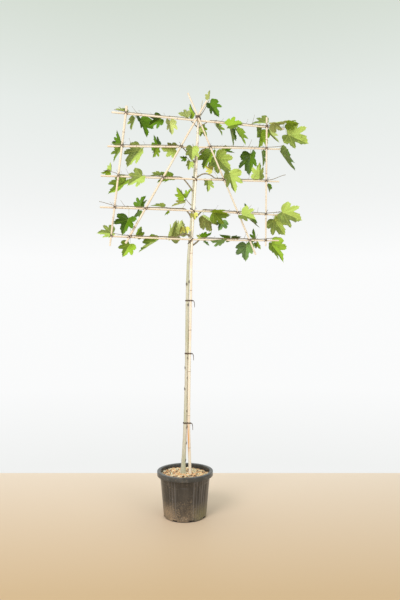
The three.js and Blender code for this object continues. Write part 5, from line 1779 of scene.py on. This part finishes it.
def lay_strap(shell, z, height, members, wall):
    """A rounded flat band carried round the hull, and slack off it by a little."""
    corner = np.linspace(0, 2 * math.pi, 17)[:-1]
    thick, high = (
        size / 2 * np.sign(wave) * np.abs(wave) ** 0.5
        for size, wave in ((wall, np.cos(corner)), (height, np.sin(corner)))
    )
    rows = [hull(members, -turns_round(TIE.strap_steps), TIE.slack + TOUCH + wall / 2 + t) for t in thick]
    lay_ring(shell, np.stack([vec(row[:, 0], row[:, 1], z + h) for row, h in zip(rows, high)], 1))


def lay_wires(shell, centre, way, members, radius, places, gap):
    """Turns of wire round members, which lie along a slanting way, at places a gap apart."""
    flat = hull(members, turns_round(TIE.steps), radius + 0.5)
    for place in places:
        shift = np.cross(way, vec(0, 1, 0)) * place * gap * radius
        points = centre + shift + way * flat[:, :1] + vec(0, flat[:, 1], 0)
        ways = unit(np.roll(points, -1, 0) - np.roll(points, 1, 0))
        out = unit(np.cross(ways, unit(np.cross(way, vec(0, 1, 0)))))
        lay_ring(shell, ringed(points, out, np.cross(ways, out), np.full((TIE.steps, 8), radius)))


def lay_tails(shell, start, radius, seed, length=26):
    """The two loose ends of a wire, twisted together for a few millimetres and then apart."""
    d = draws(seed, 8)
    t = np.linspace(0, 1, 22)
    lean = unit(vec(1.6 * (d[0] - 0.5), -0.35 - 0.4 * d[1], 0.5 + 1.1 * (d[2] - 0.3)))
    for k, turn in enumerate((0, math.pi)):
        spread = 7 * ease((t - 0.42) / 0.58) * (1 if k else -1)
        reach = length * (0.75 + 0.5 * d[3 + k])
        twist = 1.05 * radius * (1 - ease((t - 0.36) / 0.2))
        points = start + lean * (t * reach)[:, None]
        round_y, round_z = twist * np.cos(15 * t + turn), twist * np.sin(15 * t + turn)
        points += vec(spread * (0.4 + d[5]), round_y, round_z - 9 * d[6] * t**2)
        lay_tube(shell, points, np.full(len(t), radius * 0.85), 6, round_tip=True)


def lay_lashing(shell, rail, seed, radius):
    """The turns of wire that lash a rail to the post, and to the trunk behind it."""
    x = float(post_x(rail_z(rail, rail_middle(rail))))
    point, rail_r = rail_at(rail, x)
    z = point[2]
    post, stem = post_at(z), trunk_at(z)
    slant = math.sqrt(2)
    members = [
        (0, point[1], rail_r + 0.2, slant),
        (0, post[1], post_radius(z), slant),
        ((stem[0] - x) * slant, stem[1], trunk_radius(z) + TRUNK.knot_swell + 0.9, slant),
    ]
    lay_wires(shell, vec(x, 0, z), unit(vec(1, 0, rail.lash)), members, radius, (-1, 0, 1), 2.1)
    lay_tails(shell, vec(x + 3, point[1] - rail_r - 1, z), radius, seed, 30)


def lay_cross_tie(shell, rail, front, seed, radius):
    """Two crossed loops of wire round a rail and the cane in front of it."""
    x = crossing_x(rail, front)
    back, back_r = rail_at(rail, x)
    fore, fore_r = front_cane_at(front, back[2])
    rail_way = unit(vec(rail.right[0] - rail.left[0], 0, rail.right[1] - rail.left[1]))
    cane_way = unit(vec(front.top[0] - front.foot[0], 0, front.top[1] - front.foot[1]))
    for sign in (1, -1):
        way = unit(cane_way + sign * rail_way)
        members = [
            (0, spot[1], r + 0.2, 1 / max(0.35, np.linalg.norm(np.cross(way, along_way))))
            for spot, r, along_way in ((back, back_r, rail_way), (fore, fore_r, cane_way))
        ]
        lay_wires(shell, vec(x, 0, back[2]), way, members, radius, (-0.5, 0.5), 2.2)
    lay_tails(shell, vec(x, fore[1] - fore_r - 0.6, back[2]), radius, seed)


class PLANE_TREE_OT_ties(bpy.types.Operator):
    """Make the straps that hold the trunk to the post, and the wires that tie the canes"""

    bl_idname = "plane_tree.make_ties"
    bl_label = "Make the ties"

    def execute(self, context):
        paint, wire = colours(), sizes().wire_radius / MM
        finish = tie_finish("tie_rubber", paint.tie)
        for i, z in enumerate(TIE.trunk_heights):
            shell = Shell()
            members = upright_members(z, TIE.height)
            lay_strap(shell, z, TIE.height, members, TIE.wall)
            knot = hull(members, np.radians([TIE.knot_turn]), TIE.slack + TIE.wall)[0]
            hang = np.array([[0, 0, 0], [9, -3, -1], [15, -3, -14], [17, -2, -TIE.tail]])
            points = curve_through(vec(knot[0], knot[1], z) + hang, 26)
            lay_tube(shell, points, np.linspace(3.4, 1.6, 27), 10, round_tip=True)
            lay_bud(shell, vec(knot[0] - 1, knot[1], z + 4), vec(0.3, -0.2, -1), 11, 5)
            piece = shell.piece(f"trunk_strap_{i + 1}", [finish])
            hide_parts(f"trunk_tie_{i + 1}")
        for i, rail in enumerate(RAILS[1:], 1):
            shell = Shell()
            lay_lashing(shell, rail, SEEDS.lashings + i, wire)
            piece = shell.piece(f"lashing_wire_{i + 1}", [finish])
            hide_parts(f"lashing_{i + 1}")
        shell = Shell()
        members = upright_members(APEX.z, APEX.band, rakes=True)
        lay_strap(shell, APEX.z, APEX.band, members, TIE.wall)
        for rise in (-APEX.cord_rise, APEX.cord_rise):
            lay_strap(shell, APEX.z + rise, APEX.cord, members, APEX.cord)
        front = hull(members, np.radians([APEX.knot_turn]), 2)[0]
        lay_tails(shell, vec(front[0], front[1], APEX.z), wire, SEEDS.apex, 30)
        piece = shell.piece("apex_strap", [finish])
        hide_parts("apex_tie")
        shell = Shell()
        for i, rail in enumerate(RAILS):
            for j, front in enumerate(FRONT_CANES):
                if rail is RAILS[0] and front in RAKES:
                    continue
                lay_cross_tie(shell, rail, front, SEEDS.cane_wires + 10 * i + j, wire)
        piece = shell.piece("cane_wires", [finish])
        return {"FINISHED"}


# Stage

CAMERA = Named(place=(0.1006, -3.51, 1.289), lens=31.2, sensor=36, shift_y=0.04, near=0.05, far=60)
# fade and fade_start set how the floor's painted light and shade go from its near colour to its back colour.
FLOOR = Named(front=-6.0, back=0.988, half_width=4.5, fade=2.0, fade_start=0.52)
# Tone of the pale studio wall by height: the share of the span from under the horizon to well above it.
WALL_SPAN = (-0.3, 0.6)
WALL_TONES = (
    (0.055, (0.88, 0.89, 0.88)), (0.2, (0.96, 0.965, 0.965)), (0.467, (0.965, 0.97, 0.97)),
    (0.59, (0.885, 0.9, 0.89)), (0.755, (0.8, 0.84, 0.81)), (0.918, (0.66, 0.72, 0.645)),
)  # fmt: skip


def soft_light(name, place, aim, size, power, tint):
    """A round, soft light at a place, turned to its aim; the size is in metres and the power in watts."""
    data = bpy.data.lights.new(name, "AREA")
    data.shape, data.size, data.energy, data.color = "DISK", size, power, tint
    lamp = bpy.data.objects.new(name, data)
    bpy.context.scene.collection.objects.link(lamp)
    lamp.location = place
    lamp.rotation_euler = (Vector(aim) - Vector(place)).to_track_quat("-Z", "Y").to_euler()


class PLANE_TREE_OT_stage(bpy.types.Operator):
    """Set up the pale floor, the soft light and the camera at the photograph's angle"""

    bl_idname = "plane_tree.make_stage"
    bl_label = "Make the stage"

    def execute(self, context):
        scene = context.scene
        mesh = bpy.data.meshes.new("floor")
        left, right, front, back = -FLOOR.half_width, FLOOR.half_width, FLOOR.front, FLOOR.back
        corners = (left, front, 0), (right, front, 0), (right, back, 0), (left, back, 0)
        mesh.from_pydata(corners, [], [(0, 1, 2, 3)])
        # Painted light and shade: the floor's colour goes from darker near the camera to brighter at the
        # back.
        made = Finish("floor_paint", 0.6)
        far = made.sum("MULTIPLY_ADD", made.apart(made.spot())[1], 1 / FLOOR.fade, FLOOR.fade_start)
        mesh.materials.append(made.done(made.blend(far, colours().floor_near_shaded, colours().floor)))
        floor = bpy.data.objects.new("floor", mesh)
        scene.collection.objects.link(floor)

        world = bpy.data.worlds.new("studio")
        scene.world = world
        world.use_nodes = True
        nodes, links = world.node_tree.nodes, world.node_tree.links
        height = nodes.new("ShaderNodeSeparateXYZ")
        links.new(nodes.new("ShaderNodeTexCoord").outputs["Generated"], height.inputs[0])
        share = nodes.new("ShaderNodeMapRange")
        share.inputs["From Min"].default_value, share.inputs["From Max"].default_value = WALL_SPAN
        links.new(height.outputs[2], share.inputs[0])
        ramp = nodes.new("ShaderNodeValToRGB")
        links.new(share.outputs[0], ramp.inputs[0])
        stops = ramp.color_ramp.elements
        for i, (place, tint) in enumerate(WALL_TONES):
            stop = stops[i] if i < 2 else stops.new(place)
            stop.position, stop.color = place, (*tint, 1)
        links.new(ramp.outputs[0], nodes["Background"].inputs["Color"])
        scene.view_settings.view_transform = "Standard"

        soft_light("key_light", (-1.9, -3.4, 3.6), (0.05, 0, 1.6), 2.2, 120, (1, 0.985, 0.96))
        soft_light("fill_light", (2.6, -3.0, 1.6), (0.05, 0, 1.4), 2.4, 40, (0.98, 0.99, 1))

        data = bpy.data.cameras.new("camera")
        data.lens, data.sensor_width, data.shift_y = CAMERA.lens, CAMERA.sensor, CAMERA.shift_y
        data.clip_start, data.clip_end = CAMERA.near, CAMERA.far
        camera = bpy.data.objects.new("camera", data)
        camera.location = CAMERA.place
        camera.rotation_euler = (math.pi / 2, 0, 0)
        scene.collection.objects.link(camera)
        scene.camera = camera
        return {"FINISHED"}


# Panel and registration

STEPS = (
    PLANE_TREE_OT_pot,
    PLANE_TREE_OT_soil,
    PLANE_TREE_OT_canes,
    PLANE_TREE_OT_trunk,
    PLANE_TREE_OT_shoots,
    PLANE_TREE_OT_leaves,
    PLANE_TREE_OT_ties,
    PLANE_TREE_OT_stage,
)


class PLANE_TREE_PT_panel(bpy.types.Panel):
    """Lists the steps that make the tree, and the sizes and colours they read"""

    bl_idname = "PLANE_TREE_PT_panel"
    bl_label = "Plane tree"
    bl_space_type = "VIEW_3D"
    bl_region_type = "UI"
    bl_category = "Plane tree"

    def draw(self, context):
        for group in (context.scene.plane_tree_sizes, context.scene.plane_tree_colours):
            box = self.layout.box()
            for name in group.__annotations__:
                box.prop(group, name)
        for step in STEPS:
            self.layout.operator(step.bl_idname)


CLASSES = (PlaneTreeSizes, PlaneTreeColours) + STEPS + (PLANE_TREE_PT_panel,)


def register():
    for each in CLASSES:
        bpy.utils.register_class(each)
    bpy.types.Scene.plane_tree_sizes = PointerProperty(type=PlaneTreeSizes)
    bpy.types.Scene.plane_tree_colours = PointerProperty(type=PlaneTreeColours)


def unregister():
    del bpy.types.Scene.plane_tree_sizes
    del bpy.types.Scene.plane_tree_colours
    for each in reversed(CLASSES):
        bpy.utils.unregister_class(each)


def main():
    register()
    for step in STEPS:
        group, call = step.bl_idname.split(".")
        getattr(getattr(bpy.ops, group), call)()
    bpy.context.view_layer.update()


if __name__ == "__main__":
    main()
